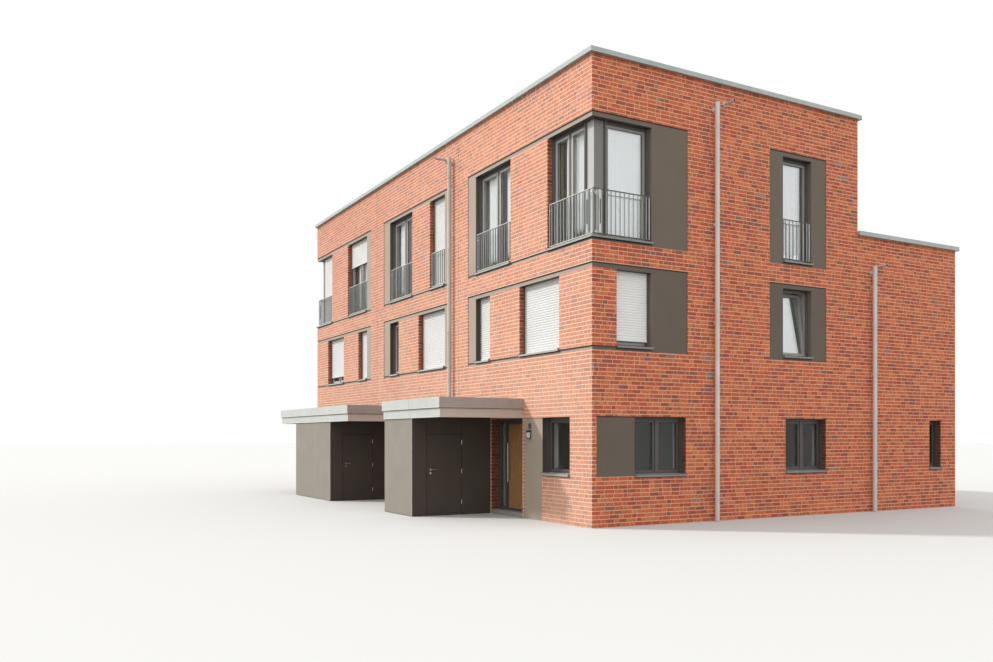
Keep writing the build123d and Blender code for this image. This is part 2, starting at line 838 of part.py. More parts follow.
def knuckles(edge, side, start, first, foot):
    """Hinge knuckles on the pivot line, with plates that reach back to the door or the frame."""
    for level in hinge_levels:
        low = level + foot
        with Locations((edge + side * (leaf_start - leaf_gap / 2), pivot_y, low)):
            Cylinder(hinge_radius, knuckle_height, align=(Align.CENTER, Align.CENTER, Align.MIN))
        span = door_span(edge, side, *start)
        slab(*span, pivot_y - hinge_plate, pivot_y, low, low + knuckle_height)
        span = door_span(edge, side, *first)
        slab(*span, frame_inner, pivot_y, low, low + knuckle_height)


right_edge = doorways[0][1]
pivot = leaf_start - leaf_gap / 2
with BuildPart() as entrance_frame:
    entrance_frame_piece(right_edge, -1, True)
    knuckles(right_edge, -1, (pivot - 26, pivot), (pivot - 26, pivot - 12), -knuckle_height - knuckle_gap)
keep("entrance_frame", entrance_frame.part)

with BuildPart() as entrance_door:
    with BuildSketch(front.offset(-door_setback - door_frame_depth + leaf_thickness)):
        area(door_span(right_edge, -1, leaf_start, leaf_end), leaf_foot, leaf_head)
    extrude(amount=-leaf_thickness)
    knuckles(right_edge, -1, (pivot, pivot + 26), (pivot + 12, pivot + 26), 0)
keep("entrance_door", entrance_door.part)

with BuildPart() as entrance_handle:
    pull_handle(right_edge, -1)
keep("entrance_handle", entrance_handle.part)

fixed_doors = [(doorways[1][1], -1), (doorways[2][0], 1)]
with BuildPart() as neighbour_frames:
    for edge, side in fixed_doors:
        entrance_frame_piece(edge, side, False)
keep("neighbour_frames", neighbour_frames.part)

with BuildPart() as neighbour_doors:
    with BuildSketch(front.offset(-door_setback - door_frame_depth + leaf_thickness)):
        for edge, side in fixed_doors:
            area(door_span(edge, side, door_frame_width, post_start), ground_floor, ground_head - door_frame_width)
    extrude(amount=-leaf_thickness)
keep("neighbour_doors", neighbour_doors.part)

with BuildPart() as neighbour_handles:
    for edge, side in fixed_doors:
        pull_handle(edge, side)
keep("neighbour_handles", neighbour_handles.part)

with BuildPart() as sidelights:
    with BuildSketch(front.offset(-door_setback - (door_frame_depth - pane_thickness) / 2)):
        for edge, side in [(right_edge, -1)] + fixed_doors:
            area(door_span(edge, side, light_start, light_end), ground_floor + door_frame_width,
                 ground_head - door_frame_width)
    extrude(amount=-pane_thickness)
keep("sidelights", sidelights.part)

with BuildPart() as wall_lamps:
    lamp_span = (lamp_position - lamp_size[0] / 2, lamp_position + lamp_size[0] / 2)
    with BuildSketch(front.offset(-render_recess)):
        for span in (along(lamp_span), along(shift(lamp_span)), along(flip(lamp_span))):
            area(span, lamp_foot, lamp_foot + lamp_size[1])
    extrude(amount=lamp_depth)
keep("wall_lamps", wall_lamps.part)

os.makedirs("parts", exist_ok=True)
for name, shape in parts.items():
    export_step(shape, f"parts/{name}.step")
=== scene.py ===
import math
import random

import bmesh
import bpy
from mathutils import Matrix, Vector


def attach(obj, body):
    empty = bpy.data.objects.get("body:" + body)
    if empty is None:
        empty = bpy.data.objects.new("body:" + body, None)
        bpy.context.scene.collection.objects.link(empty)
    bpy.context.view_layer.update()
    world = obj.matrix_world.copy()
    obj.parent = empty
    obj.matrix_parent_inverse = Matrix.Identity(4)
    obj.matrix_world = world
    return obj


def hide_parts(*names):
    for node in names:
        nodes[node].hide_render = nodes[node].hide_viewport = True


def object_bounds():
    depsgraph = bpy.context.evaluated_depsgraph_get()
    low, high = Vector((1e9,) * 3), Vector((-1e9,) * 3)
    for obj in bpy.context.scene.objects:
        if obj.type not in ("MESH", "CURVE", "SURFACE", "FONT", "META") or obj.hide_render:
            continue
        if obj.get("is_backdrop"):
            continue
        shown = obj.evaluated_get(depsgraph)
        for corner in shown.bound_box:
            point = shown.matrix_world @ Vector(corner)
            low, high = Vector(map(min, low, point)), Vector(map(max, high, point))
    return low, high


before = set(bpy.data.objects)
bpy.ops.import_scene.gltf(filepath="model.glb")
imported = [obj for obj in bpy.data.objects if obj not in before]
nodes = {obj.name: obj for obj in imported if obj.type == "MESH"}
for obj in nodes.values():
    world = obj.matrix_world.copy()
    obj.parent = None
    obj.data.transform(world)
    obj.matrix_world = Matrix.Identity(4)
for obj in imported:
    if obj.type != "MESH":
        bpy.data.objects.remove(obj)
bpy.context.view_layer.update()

# Measures of the house row, in metres, in the frame of the CAD
half_length, half_depth = 8.49, 5.725
wall_thickness = 0.42
step = 1.985
house_shift = 5.58
main_wall_top, rear_wall_top = 9.33, 6.59
main_roof, rear_roof = 8.88, 5.85
top_sill, top_head = 5.74, 8.10
first_sill, first_head = 3.595, 5.135
ground_floor, ground_sill, ground_head = 0.10, 1.00, 2.205
frame_back = 0.16
frame_edge, sash_edge = 0.055, 0.06
corner_clear = 0.40
sash_back = frame_back + 0.014
glass_back = sash_back + 0.024
head_band = 0.105
course = 1 / 12
half_brick = 0.112
reveal_start = 0.02

ends = {"right": 1, "left": -1}
up = Vector((0, 0, 1))
sideways = Vector((1, 0, 0))


def along(near, far):
    """Positions across the front of a span counted from the right-hand corner."""
    return half_length - far, half_length - near


def back(near, far):
    """Positions across an end wall of a span counted from the front corner."""
    return near - half_depth, far - half_depth


def turned(span):
    """The mirrored span at the other end of the row."""
    return -span[1], -span[0]


# Where a point lies on each wall: its place across, how far it stands out, and its level.
# The plan is the frame itself.
walls = {
    "front": lambda u, out, z: Vector((u, -half_depth - out, z)),
    "right": lambda u, out, z: Vector((half_length + out, u, z)),
    "left": lambda u, out, z: Vector((-half_length - out, u, z)),
    "rear": lambda u, out, z: Vector((-u, half_depth + out, z)),
    "upper_rear": lambda u, out, z: Vector((-u, step + out, z)),
    "plan": lambda x, y, z: Vector((x, y, z)),
}


# Finishes


def linear(code):
    """An sRGB hex colour as linear values."""
    parts = [int(code[i:i + 2], 16) / 255 for i in (1, 3, 5)]
    return tuple(v / 12.92 if v <= 0.04045 else ((v + 0.055) / 1.055) ** 2.4 for v in parts) + (1.0,)


def add(tree, kind, *values, inputs=None, stops=None, **settings):
    """Adds a shader node with its settings and a ramp's stops.

    Values, as numbers or links, go to its first inputs in their order, and inputs names or numbers others.
    """
    made = tree.nodes.new("ShaderNode" + kind)
    for name, value in settings.items():
        setattr(made, name, value)
    if stops:
        elements = made.color_ramp.elements
        while len(elements) < len(stops):
            elements.new(0.5)
        for element, (position, colour) in zip(elements, stops):
            element.position = position
            element.color = linear(colour)
    for key, value in [*enumerate(values), *(inputs or {}).items()]:
        if isinstance(value, bpy.types.Node):
            value = value.outputs[0]
        if isinstance(value, bpy.types.NodeSocket):
            tree.links.new(value, made.inputs[key])
        else:
            made.inputs[key].default_value = value
    return made


def finish(name, roughness, metallic=0.0):
    """A new material: its node tree and its shader."""
    material = bpy.data.materials.new(name)
    material.use_nodes = True
    tree = material.node_tree
    shader = tree.nodes["Principled BSDF"]
    shader.inputs["Roughness"].default_value = roughness
    shader.inputs["Metallic"].default_value = metallic
    return material, tree, shader


def axes_of(tree, kind="TexCoord", output="Object"):
    """Where a point lies along each axis."""
    return add(tree, "SeparateXYZ", add(tree, kind).outputs[output]).outputs


def facing_of(tree):
    """The way a face looks along each axis."""
    return axes_of(tree, "NewGeometry", "True Normal")


def within(tree, axes, x, y):
    """One at points less than x and y from the middle of the row, and nothing further out."""
    inside = 1.0
    for axis, limit in (("X", x), ("Y", y)):
        distance = add(tree, "Math", axes[axis], operation="ABSOLUTE")
        near = add(tree, "Math", distance, limit, operation="LESS_THAN")
        inside = add(tree, "Math", near, inside, operation="MULTIPLY")
    return inside


def layered(tree, tone, *washes):
    """Lays washes over a tone in their order, each a share and a colour."""
    for share, colour in washes:
        colour = linear(colour) if isinstance(colour, str) else colour
        tone = add(tree, "Mix", inputs={0: share, 6: tone, 7: colour}, data_type="RGBA").outputs[2]
    return tone


def washed(material, *washes):
    """Lays washes over the tone that a material has so far."""
    tree = material.node_tree
    base = tree.nodes["Principled BSDF"].inputs["Base Color"]
    tree.links.new(layered(tree, base.links[0].from_socket, *washes), base)
    return material


def grained(name, tones, roughness, grain_mm, bump_mm=0.0, metallic=0.0, stretch=(1, 1, 1), spread=(0.3, 0.7),
            detail=4.0, cloud_mm=0.0, cloud=0.0):
    """A surface whose tone varies with its grain, and more broadly with weathering where asked."""
    material, tree, shader = finish(name, roughness, metallic)
    place = add(tree, "TexCoord").outputs["Object"]
    stretched = add(tree, "Mapping", inputs={"Vector": place, "Scale": stretch})
    grain = add(tree, "TexNoise", inputs={"Vector": stretched, "Scale": 1000 / grain_mm, "Detail": detail,
                                          "Roughness": 0.6})
    level = grain
    if cloud:
        broad = add(tree, "TexNoise", inputs={"Vector": place, "Scale": 1000 / cloud_mm, "Detail": 3.0})
        level = add(tree, "Mix", inputs={0: cloud, 2: grain, 3: broad}, data_type="FLOAT")
    even = add(tree, "MapRange", level, *spread)
    tone = add(tree, "ValToRGB", even, stops=[(i / (len(tones) - 1), tone) for i, tone in enumerate(tones)])
    tree.links.new(tone.outputs["Color"], shader.inputs["Base Color"])
    if bump_mm:
        raised = add(tree, "Bump", inputs={"Height": grain, "Strength": 0.6, "Distance": bump_mm / 1000})
        tree.links.new(raised.outputs["Normal"], shader.inputs["Normal"])
    return material


def wild_bond(tree, place, axes, side):
    """Bricks in wild bond: how far a point is clear of the joints, and a key of its own for each brick."""
    across = add(tree, "Mix", inputs={0: side, 2: axes["X"], 3: axes["Y"]}, data_type="FLOAT")
    # Course number, the place within the course, and how far the course slides along
    high = add(tree, "Math", axes["Z"], 1 / course, operation="MULTIPLY")
    row = add(tree, "Math", high, operation="FLOOR")
    rise = add(tree, "Math", high, operation="FRACT")
    chance = add(tree, "TexWhiteNoise", inputs={"W": row}, noise_dimensions="1D")
    odd = add(tree, "Math", row, 2.0, operation="MODULO")
    quarter = add(tree, "Math", odd, 0.5, operation="MULTIPLY")
    slide = add(tree, "Math", chance, 5.0, quarter, operation="MULTIPLY_ADD")
    slide = add(tree, "Math", slide, 0.5, operation="SNAP")
    # Half bricks counted along the course, in groups of five: two stretchers and a header, in one of three
    # orders. The joints wander a little, so that no two bricks are quite the same length.
    lane = add(tree, "Math", row, 7.3, operation="MULTIPLY")
    spread = add(tree, "CombineXYZ", across, lane)
    wander = add(tree, "TexNoise", inputs={"Vector": spread, "Scale": 3.0, "Detail": 0.0},
                 noise_dimensions="2D")
    uneven = add(tree, "Math", wander, 0.07, across, operation="MULTIPLY_ADD")
    halves = add(tree, "Math", uneven, 1 / half_brick, slide, operation="MULTIPLY_ADD")
    fifths = add(tree, "Math", halves, 0.2, operation="MULTIPLY")
    group = add(tree, "Math", fifths, operation="FLOOR")
    spot = add(tree, "Math", group, -5.0, halves, operation="MULTIPLY_ADD")
    key = add(tree, "CombineXYZ", group, row, side)
    order = add(tree, "TexWhiteNoise", key, noise_dimensions="3D")
    late = add(tree, "Math", order, 0.667, operation="GREATER_THAN")
    middle = add(tree, "Math", order, 0.333, operation="GREATER_THAN")
    left = add(tree, "Math", 5.0, spot, operation="SUBTRACT")
    near = add(tree, "Math", spot, left, operation="MINIMUM")
    passed = 0.0
    for latest, moved in ((2.0, late), (4.0, middle)):
        joint = add(tree, "Math", latest, moved, operation="SUBTRACT")
        off = add(tree, "Math", spot, joint, operation="SUBTRACT")
        off = add(tree, "Math", off, operation="ABSOLUTE")
        near = add(tree, "Math", near, off, operation="MINIMUM")
        beyond = add(tree, "Math", spot, joint, operation="GREATER_THAN")
        passed = add(tree, "Math", beyond, passed, operation="ADD")
    upright = add(tree, "Math", near, half_brick, 0.0030, operation="MULTIPLY_ADD")
    other = add(tree, "Math", 1.0, rise, operation="SUBTRACT")
    bed = add(tree, "Math", rise, other, operation="MINIMUM")
    bed = add(tree, "Math", bed, course, operation="MULTIPLY")
    edge = add(tree, "Math", upright, bed, operation="MINIMUM")
    chipped = add(tree, "TexNoise", inputs={"Vector": place, "Scale": 60.0, "Detail": 3.0})
    edge = add(tree, "Math", chipped, 0.004, edge, operation="MULTIPLY_ADD")
    own = add(tree, "Math", side, 7.0, passed, operation="MULTIPLY_ADD")
    return add(tree, "MapRange", edge, 0.0062, 0.0118), add(tree, "CombineXYZ", group, row, own)


def facing_brick(inside_x, inside_y, upper_y):
    """Facing brick in wild bond with flush pale mortar; the room sides of the wall are white plaster.

    Bricks are about 212 x 71 mm, twelve courses to the metre, and their 12 mm joints are drawn 15 mm wide so
    that they show. The eye sees orange-red stretchers and headers in no fixed order, with a few purple-brown
    and ash-grey burnt ones. On the long sunny front, bricks and mortar are painted paler as painted sunlight.
    """
    material, tree, shader = finish("facing_brick_wild_bond", 0.86)
    place = add(tree, "TexCoord").outputs["Object"]
    axes, facing = axes_of(tree), facing_of(tree)
    side = add(tree, "Math", facing["X"], operation="ABSOLUTE")
    side = add(tree, "Math", side, 0.5, operation="GREATER_THAN")
    brick, key = wild_bond(tree, place, axes, side)
    # Each brick's own clay, from batches that change along the wall
    chance = add(tree, "TexWhiteNoise", key, noise_dimensions="3D")
    batch = add(tree, "TexNoise", inputs={"Vector": place, "Scale": 0.9, "Detail": 2.0})
    shifted = add(tree, "MapRange", batch, 0.35, 0.65, -0.06, 0.025)
    pick = add(tree, "Math", chance, shifted, operation="ADD", use_clamp=True)
    clay = add(tree, "ValToRGB", pick, stops=[
        (0.00, "#EE8450"), (0.25, "#E37442"), (0.55, "#D8653E"), (0.82, "#C6563A"), (0.92, "#B4523D"),
        (0.965, "#9C5648"), (0.99, "#966C60"), (1.00, "#A88E82")])
    # Scorched creases, smoky patches and pale sand within a brick
    creased = add(tree, "Mapping", inputs={"Vector": place, "Scale": (24.0, 24.0, 64.0)})
    burnt = add(tree, "TexNoise", inputs={"Vector": creased, "Scale": 1.0, "Detail": 5.0, "Roughness": 0.7})
    smoked = add(tree, "TexNoise", inputs={"Vector": place, "Scale": 7.0, "Detail": 2.0})
    sand = add(tree, "TexNoise", inputs={"Vector": place, "Scale": 160.0, "Detail": 3.0})
    clay = layered(tree, clay,
                   (add(tree, "MapRange", burnt, 0.46, 0.64, 0.0, 0.68), "#6E4236"),
                   (add(tree, "MapRange", smoked, 0.52, 0.68, 0.0, 0.50), "#8A6347"),
                   (add(tree, "MapRange", sand, 0.50, 0.75, 0.0, 0.22), "#E2A88C"))
    # Mortar, painted paler on the sunny front as painted sunlight, and most of all low down
    mortar = add(tree, "ValToRGB", sand, stops=[(0.3, "#DCA98A"), (0.5, "#ECBEA0"), (0.7, "#F8D8BF")])
    front = add(tree, "Math", axes["Y"], 0.03 - half_depth, operation="LESS_THAN")
    low_down_share = add(tree, "MapRange", axes["Z"], 2.0, 8.0, 1.0, 0.70)
    painted_sunlit_mortar = add(tree, "Math", front, low_down_share, operation="MULTIPLY")
    # Painted sunlight: the front is painted paler, in patches and most low down; and it is a little darker
    # towards the far houses
    sunny = add(tree, "Math", front, side, operation="SUBTRACT", use_clamp=True)
    sun_paling_share = add(tree, "MapRange", batch, 0.35, 0.65, 1.15, 0.85)
    lower = add(tree, "MapRange", axes["Z"], 2.0, 9.0, 0.42, 0.23)
    sun_paling_share = add(tree, "Math", sun_paling_share, lower, operation="MULTIPLY")
    painted_sun_paling = add(tree, "Math", sun_paling_share, sunny, operation="MULTIPLY")
    far_darkening = add(tree, "MapRange", axes["X"], -4.0, 5.0, 0.14, 0.02)
    far_darkening = add(tree, "Math", far_darkening, sunny, operation="MULTIPLY")
    # The reveals, and further in the room sides; neither lies over the roofs
    under = add(tree, "Math", axes["Z"], 8.5, operation="LESS_THAN")
    behind = add(tree, "Math", axes["Y"], upper_y, operation="GREATER_THAN")
    above = add(tree, "Math", axes["Z"], 5.72, operation="GREATER_THAN")
    outdoors = add(tree, "Math", behind, above, operation="MULTIPLY")
    sheltered = []
    for x, y in ((half_length - reveal_start, half_depth - reveal_start), (inside_x, inside_y)):
        inside = add(tree, "Math", within(tree, axes, x, y), under, operation="MULTIPLY")
        sheltered.append(add(tree, "Math", inside, outdoors, operation="SUBTRACT", use_clamp=True))
    reveal, inner = sheltered
    # Painted shade: the reveals are darker than the faces, most at the heads of the windows and under the
    # canopies
    lying = add(tree, "Math", facing["Z"], operation="ABSOLUTE")
    painted_reveal_shade = add(tree, "Math", lying, 0.4, 0.5, operation="MULTIPLY_ADD")
    canopied = add(tree, "Math", axes["Z"], 2.4, operation="LESS_THAN")
    painted_reveal_shade = add(tree, "Math", canopied, 0.25, painted_reveal_shade, operation="MULTIPLY_ADD", use_clamp=True)
    painted_reveal_shade = add(tree, "Math", painted_reveal_shade, reveal, operation="MULTIPLY")
    colour = layered(tree, mortar, (painted_sunlit_mortar, "#FBE6D2"), (brick, clay), (painted_sun_paling, "#EFCCB2"), (far_darkening, "#8A5A48"),
                     (painted_reveal_shade, "#3A211A"), (inner, "#E6E3DD"))
    tree.links.new(colour, shader.inputs["Base Color"])
    # The plaster is flat
    relief = add(tree, "Math", burnt, 0.35, brick, operation="MULTIPLY_ADD")
    outer = add(tree, "Math", 1.0, inner, operation="SUBTRACT")
    relief = add(tree, "Math", relief, outer, operation="MULTIPLY")
    raised = add(tree, "Bump", inputs={"Height": relief, "Strength": 0.5, "Distance": 0.004})
    tree.links.new(raised.outputs["Normal"], shader.inputs["Normal"])
    return material


def clear_glass():
    """Double glazing: see-through, mirroring more towards grazing angles.

    The upper panes of the end walls have a sun-control coating, which mirrors the sky.
    """
    material, tree, shader = finish("insulating_glass", 0.02, 1.0)
    shader.inputs["Base Color"].default_value = linear("#F4F8F8")
    through = add(tree, "BsdfTransparent", linear("#FEFFFF"))
    axes, facing = axes_of(tree), facing_of(tree)
    end = add(tree, "Math", facing["X"], operation="ABSOLUTE")
    end = add(tree, "Math", end, 0.5, operation="GREATER_THAN")
    high = add(tree, "Math", axes["Z"], 3.0, operation="GREATER_THAN")
    coated = add(tree, "Math", end, high, operation="MULTIPLY")
    least = add(tree, "MapRange", coated, 0.0, 1.0, 0.02, 0.50)
    oblique = add(tree, "LayerWeight", 0.5).outputs["Facing"]
    grazing = add(tree, "Math", oblique, 5.0, operation="POWER")
    share = add(tree, "MapRange", grazing, 0.0, 1.0, least, 0.9)
    both = add(tree, "MixShader", share, through, shader)
    tree.links.new(both.outputs[0], tree.nodes["Material Output"].inputs["Surface"])
    return material


def mineral_render():
    """Mineral render, floated smooth: flat taupe with a faint sand grain, painted paler on the front as
    painted sunlight.

    It is a little darker on the first storey of the end walls, and darkest in the reveals, which is painted
    shade.
    """
    material = grained("mineral_render_taupe", ("#70665B", "#7B7065"), 0.92, 6, 0.6, cloud_mm=900, cloud=0.5)
    tree = material.node_tree
    axes, facing = axes_of(tree), facing_of(tree)
    shaded = tree.nodes["Principled BSDF"].inputs["Base Color"].links[0].from_node
    level = shaded.inputs["Fac"].links[0].from_socket
    painted_sunlit_tone = add(tree, "ValToRGB", level, stops=[(0.0, "#A89A8A"), (1.0, "#B7A999")])
    low = add(tree, "Math", axes["Z"], 5.6, operation="LESS_THAN")
    low = add(tree, "Math", low, 0.22, operation="MULTIPLY")
    sunny = add(tree, "Math", facing["Y"], -0.5, operation="LESS_THAN")
    # Painted shade in the reveals
    reveal = within(tree, axes, half_length - reveal_start, half_depth - reveal_start)
    reveal = add(tree, "Math", reveal, 0.6, operation="MULTIPLY")
    return washed(material, (low, "#4C453D"), (sunny, painted_sunlit_tone), (reveal, "#302C2A"))


def frame_profile():
    """Foil-finished window profiles: grey sashes in outer frames painted darker as painted shade, satin, with
    a barely seen grain.

    The sashes of the upper windows on the front and rear are painted paler as painted sunlight, and all of
    the ground floor is painted darker as painted shade.
    """
    material = grained("basalt_grey_window_profile", ("#95928F", "#A19E9C"), 0.45, 8, stretch=(1, 1, 0.1))
    tree = material.node_tree
    axes = axes_of(tree)
    # The outer frames, less than 167 mm inside the wall faces, take painted shade
    inner = within(tree, axes, half_length - 0.167, half_depth - 0.167)
    outer = add(tree, "Math", 1.0, inner, operation="SUBTRACT")
    distance = add(tree, "Math", axes["Y"], operation="ABSOLUTE")
    long_side = add(tree, "Math", distance, half_depth - 0.30, operation="GREATER_THAN")
    upstairs = add(tree, "Math", axes["Z"], 2.6, operation="GREATER_THAN")
    painted_sunlit_sash = add(tree, "Math", long_side, upstairs, operation="MULTIPLY")
    painted_shade_downstairs = add(tree, "Math", 1.0, upstairs, operation="SUBTRACT")
    return washed(material, (painted_sunlit_sash, "#C4C1BD"), (outer, "#605D5B"), (painted_shade_downstairs, "#565250"))


def laid(name, upper, under, roughness, grain_mm, stretch=(1, 1, 1)):
    """A slab that shows one finish on top and another on its sides and underneath."""
    material = grained(name, upper, roughness, grain_mm, stretch=stretch)
    tree = material.node_tree
    below = add(tree, "Math", facing_of(tree)["Z"], 0.5, operation="LESS_THAN")
    return washed(material, (below, under))


def lapped(name, tones, lap):
    """Bitumen roofing with slate chippings, in sheets a metre wide whose black laps show as lines."""
    material = grained(name, tones, 0.95, 7, 1.5, cloud_mm=1500, cloud=0.35)
    tree = material.node_tree
    fold = add(tree, "Math", axes_of(tree)["X"], 0.5, operation="PINGPONG")
    seam = add(tree, "MapRange", fold, 0.006, 0.014, 0.8, 0.0)
    return washed(material, (seam, lap))


def woven(name, pale, deep):
    """Curtain cloth in a plain weave that lets light through.

    The threads are drawn 12 mm apart, coarser than the real 0.5 mm, so that they show.
    """
    material, tree, shader = finish(name, 0.9)
    shader.inputs["Sheen Weight"].default_value = 0.5
    place = add(tree, "TexCoord").outputs["Object"]
    weft = add(tree, "TexWave", inputs={"Vector": place, "Scale": 26.0, "Distortion": 0.6, "Detail": 2.0},
               bands_direction="Z").outputs["Fac"]
    drawn = add(tree, "Mapping", inputs={"Vector": place, "Scale": (30.0, 30.0, 2.0)})
    slub = add(tree, "TexNoise", inputs={"Vector": drawn, "Scale": 4.0, "Detail": 3.0})
    level = add(tree, "Mix", inputs={0: 0.65, 2: weft, 3: slub}, data_type="FLOAT")
    tone = add(tree, "ValToRGB", level, stops=[(0.3, deep), (0.7, pale)])
    tree.links.new(tone.outputs["Color"], shader.inputs["Base Color"])
    raised = add(tree, "Bump", inputs={"Height": weft, "Strength": 0.3, "Distance": 0.0005})
    tree.links.new(raised.outputs["Normal"], shader.inputs["Normal"])
    glow = add(tree, "BsdfTranslucent", tone)
    both = add(tree, "MixShader", 0.06, shader, glow)
    tree.links.new(both.outputs[0], tree.nodes["Material Output"].inputs["Surface"])
    return material


# Plaster lies within these distances of the middle; behind upper_y, above the rear roof, is outdoors
brick_wall = facing_brick(inside_x=8.25, inside_y=5.485, upper_y=1.75)
glass = clear_glass()
render_coat = mineral_render()
window_profile = frame_profile()
# Powder-coated folded aluminium, light grey-green: satin, with faint clouding from rain
coping_sheet = grained("coated_aluminium_coping", ("#ABB5B1", "#BFC8C5"), 0.42, 180, cloud_mm=900, cloud=0.6)
# Roller shutter slats of painted aluminium, off-white and satin
shutter_slat = grained("painted_aluminium_slat", ("#DAD9D7", "#E7E6E4"), 0.48, 300, cloud_mm=700, cloud=0.6)
# The slats on the end walls in a paler, nearly white copy: painted light that lifts their shade
shade_lifted_slat = grained("aluminium_slat_painted_light", ("#F3F3F1", "#FAFAF9"), 0.48, 300, cloud_mm=700, cloud=0.6)
# Hot-dip galvanised steel: patchy pale grey spangle
galvanised = grained("galvanised_steel_spangle", ("#CDD0CC", "#EBEDE9"), 0.38, 12, metallic=0.2, detail=2.0)
# The same steel in a darker copy on the undersides and on the sides of the front bars: painted shade
shaded_steel = grained("galvanised_steel_painted_shade", ("#6A6E6B", "#8A8E8B"), 0.5, 12, metallic=0.2, detail=2.0)
# And darker still on the end walls: deeper painted shade
deep_shaded_steel = grained("galvanised_steel_deep_painted_shade", ("#4C504E", "#686C6A"), 0.5, 12, metallic=0.2, detail=2.0)
# Bright new zinc of the brackets and bolts on the railings
bright_zinc = grained("bright_zinc_plate", ("#CDD0CE", "#E4E6E4"), 0.3, 8, metallic=0.5)
# Natural anodised aluminium sills: pale grey, slightly dusty
sill_sheet = grained("anodised_aluminium_sill", ("#A9A7A2", "#C0BEB9"), 0.45, 60, metallic=0.2, cloud_mm=500,
                     cloud=0.5)
# The sills of the end walls in a darker copy of the sheet: painted shade
shaded_sill_sheet = grained("aluminium_sill_painted_shade", ("#868480", "#959390"), 0.45, 60, metallic=0.2,
                         cloud_mm=500, cloud=0.5)
# Weathered titanium zinc: even grey with a pale bloom
zinc = grained("weathered_titanium_zinc", ("#B4B0AA", "#C9C5BF"), 0.5, 40, metallic=0.1, cloud_mm=400,
               cloud=0.6)
# The same zinc on the end walls in a paler copy: painted light from the sky in their shade
sky_lit_zinc = grained("titanium_zinc_painted_sky_light", ("#CDCAC6", "#E0DDDA"), 0.5, 40, metallic=0.1, cloud_mm=400,
                   cloud=0.6)
# Coated steel sheet of the canopies: very pale grey-green, satin
canopy_sheet = grained("coated_steel_canopy", ("#BFC2BC", "#CFD1CB"), 0.45, 200, cloud_mm=700, cloud=0.6)
# The same sheet on the ends of the canopies in darker, browner copies, the upper one darkest: painted shade
shaded_canopy_sheet = grained("steel_canopy_end_painted_shade", ("#A09590", "#B0A5A0"), 0.5, 200, cloud_mm=500,
                           cloud=0.6)
lower_shaded_canopy_sheet = grained("steel_canopy_lower_end_painted_shade", ("#C1B2A6", "#CFC0B4"), 0.5, 200, cloud_mm=500,
                          cloud=0.6)
# Fibre-cement panels of the stores: warm grey with a fine speckle
store_panel = grained("fibre_cement_panel", ("#8E877C", "#9D958A"), 0.8, 5, 0.2, cloud_mm=600, cloud=0.4)
# Darker brown copy of the fibre-cement boards for the store sides and doors: painted shade under the canopies
shaded_store_panel = grained("fibre_cement_panel_painted_shade", ("#463D36", "#514840"), 0.8, 5, 0.2, cloud_mm=600, cloud=0.4)
# Oiled oak boards: long straight brown grain
oak = grained("oiled_oak", ("#8A6238", "#A57A4A", "#BC9160"), 0.5, 22, 0.3, stretch=(1, 1, 0.07),
              spread=(0.25, 0.75))
# Brushed stainless steel of handles and bolts
stainless = grained("brushed_stainless_steel", ("#A8A8A6", "#C4C4C2"), 0.3, 2, metallic=1.0,
                    stretch=(1, 1, 0.05))
# Black extruded rubber of gaskets and seals
rubber = grained("epdm_rubber", ("#161616", "#222222"), 0.6, 5)
# Dark powder coat of the lamp housings and the soffit strips over the windows
lamp_metal = grained("powder_coated_black", ("#2A2A2A", "#363636"), 0.5, 2, 0.05)
# Opal glass of the lamps: milky white and glossy
opal = grained("opal_glass", ("#DCDCD6", "#E8E8E4"), 0.2, 30)
# Aluminium cladding of the corner posts, coated mid grey
post_cladding = grained("coated_aluminium_post", ("#BAB9B6", "#C8C7C4"), 0.4, 200, stretch=(1, 1, 0.1))
# The same cladding in a darker copy on the end faces of the posts: painted shade
shaded_post_cladding = grained("aluminium_post_painted_shade", ("#7B7976", "#878582"), 0.4, 200,
                            stretch=(1, 1, 0.1))
# Trowelled gypsum plaster in the rooms
plaster = grained("white_gypsum_plaster", ("#E2DFD9", "#EAE7E1"), 0.9, 40)
# Cast concrete of the ground slab
concrete = grained("cast_concrete", ("#93908A", "#A8A59E"), 0.9, 12, 0.5, cloud_mm=800, cloud=0.5)
# Oak strip floors over white ceilings
storey_floor = laid("oak_floor_and_white_ceiling", ("#8E6B47", "#B28C62"), "#E6E3DD", 0.55, 60,
                    stretch=(0.1, 1, 1))
# Canopy decks: dark roofing above, pale lining boards below
canopy_deck = laid("canopy_roofing_and_lining", ("#55575A", "#77797A"), "#C9C8C2", 0.85, 8)
roofing = lapped("slate_chipped_bitumen", ("#4E504F", "#666866", "#8A8B88"), "#2C2D2D")
white_cloth = woven("white_curtain_cloth", "#FCFCFB", "#F2F2F1")
green_cloth = woven("pale_green_curtain_cloth", "#E6EEE9", "#D8E1DB")
brown_cloth = woven("olive_brown_curtain_cloth", "#8A8670", "#747059")
rose_cloth = woven("rose_brown_curtain_cloth", "#8C7676", "#755F60")
umber_cloth = woven("umber_curtain_cloth", "#7A5A4C", "#664A3E")
cream_cloth = woven("cream_curtain_cloth", "#FBF5EA", "#F1E9DB")


def paint(material, *names):
    """Gives a finish to CAD nodes that keep their own shape."""
    for name in names:
        for place in nodes[name].material_slots:
            place.material = material


def ease(made, width, angle=30):
    """A small rounding on the edges that turn by more than an angle."""
    bevel = made.modifiers.new("edge", "BEVEL")
    bevel.width = width
    bevel.segments = 2
    bevel.limit_method = "ANGLE"
    bevel.angle_limit = math.radians(angle)


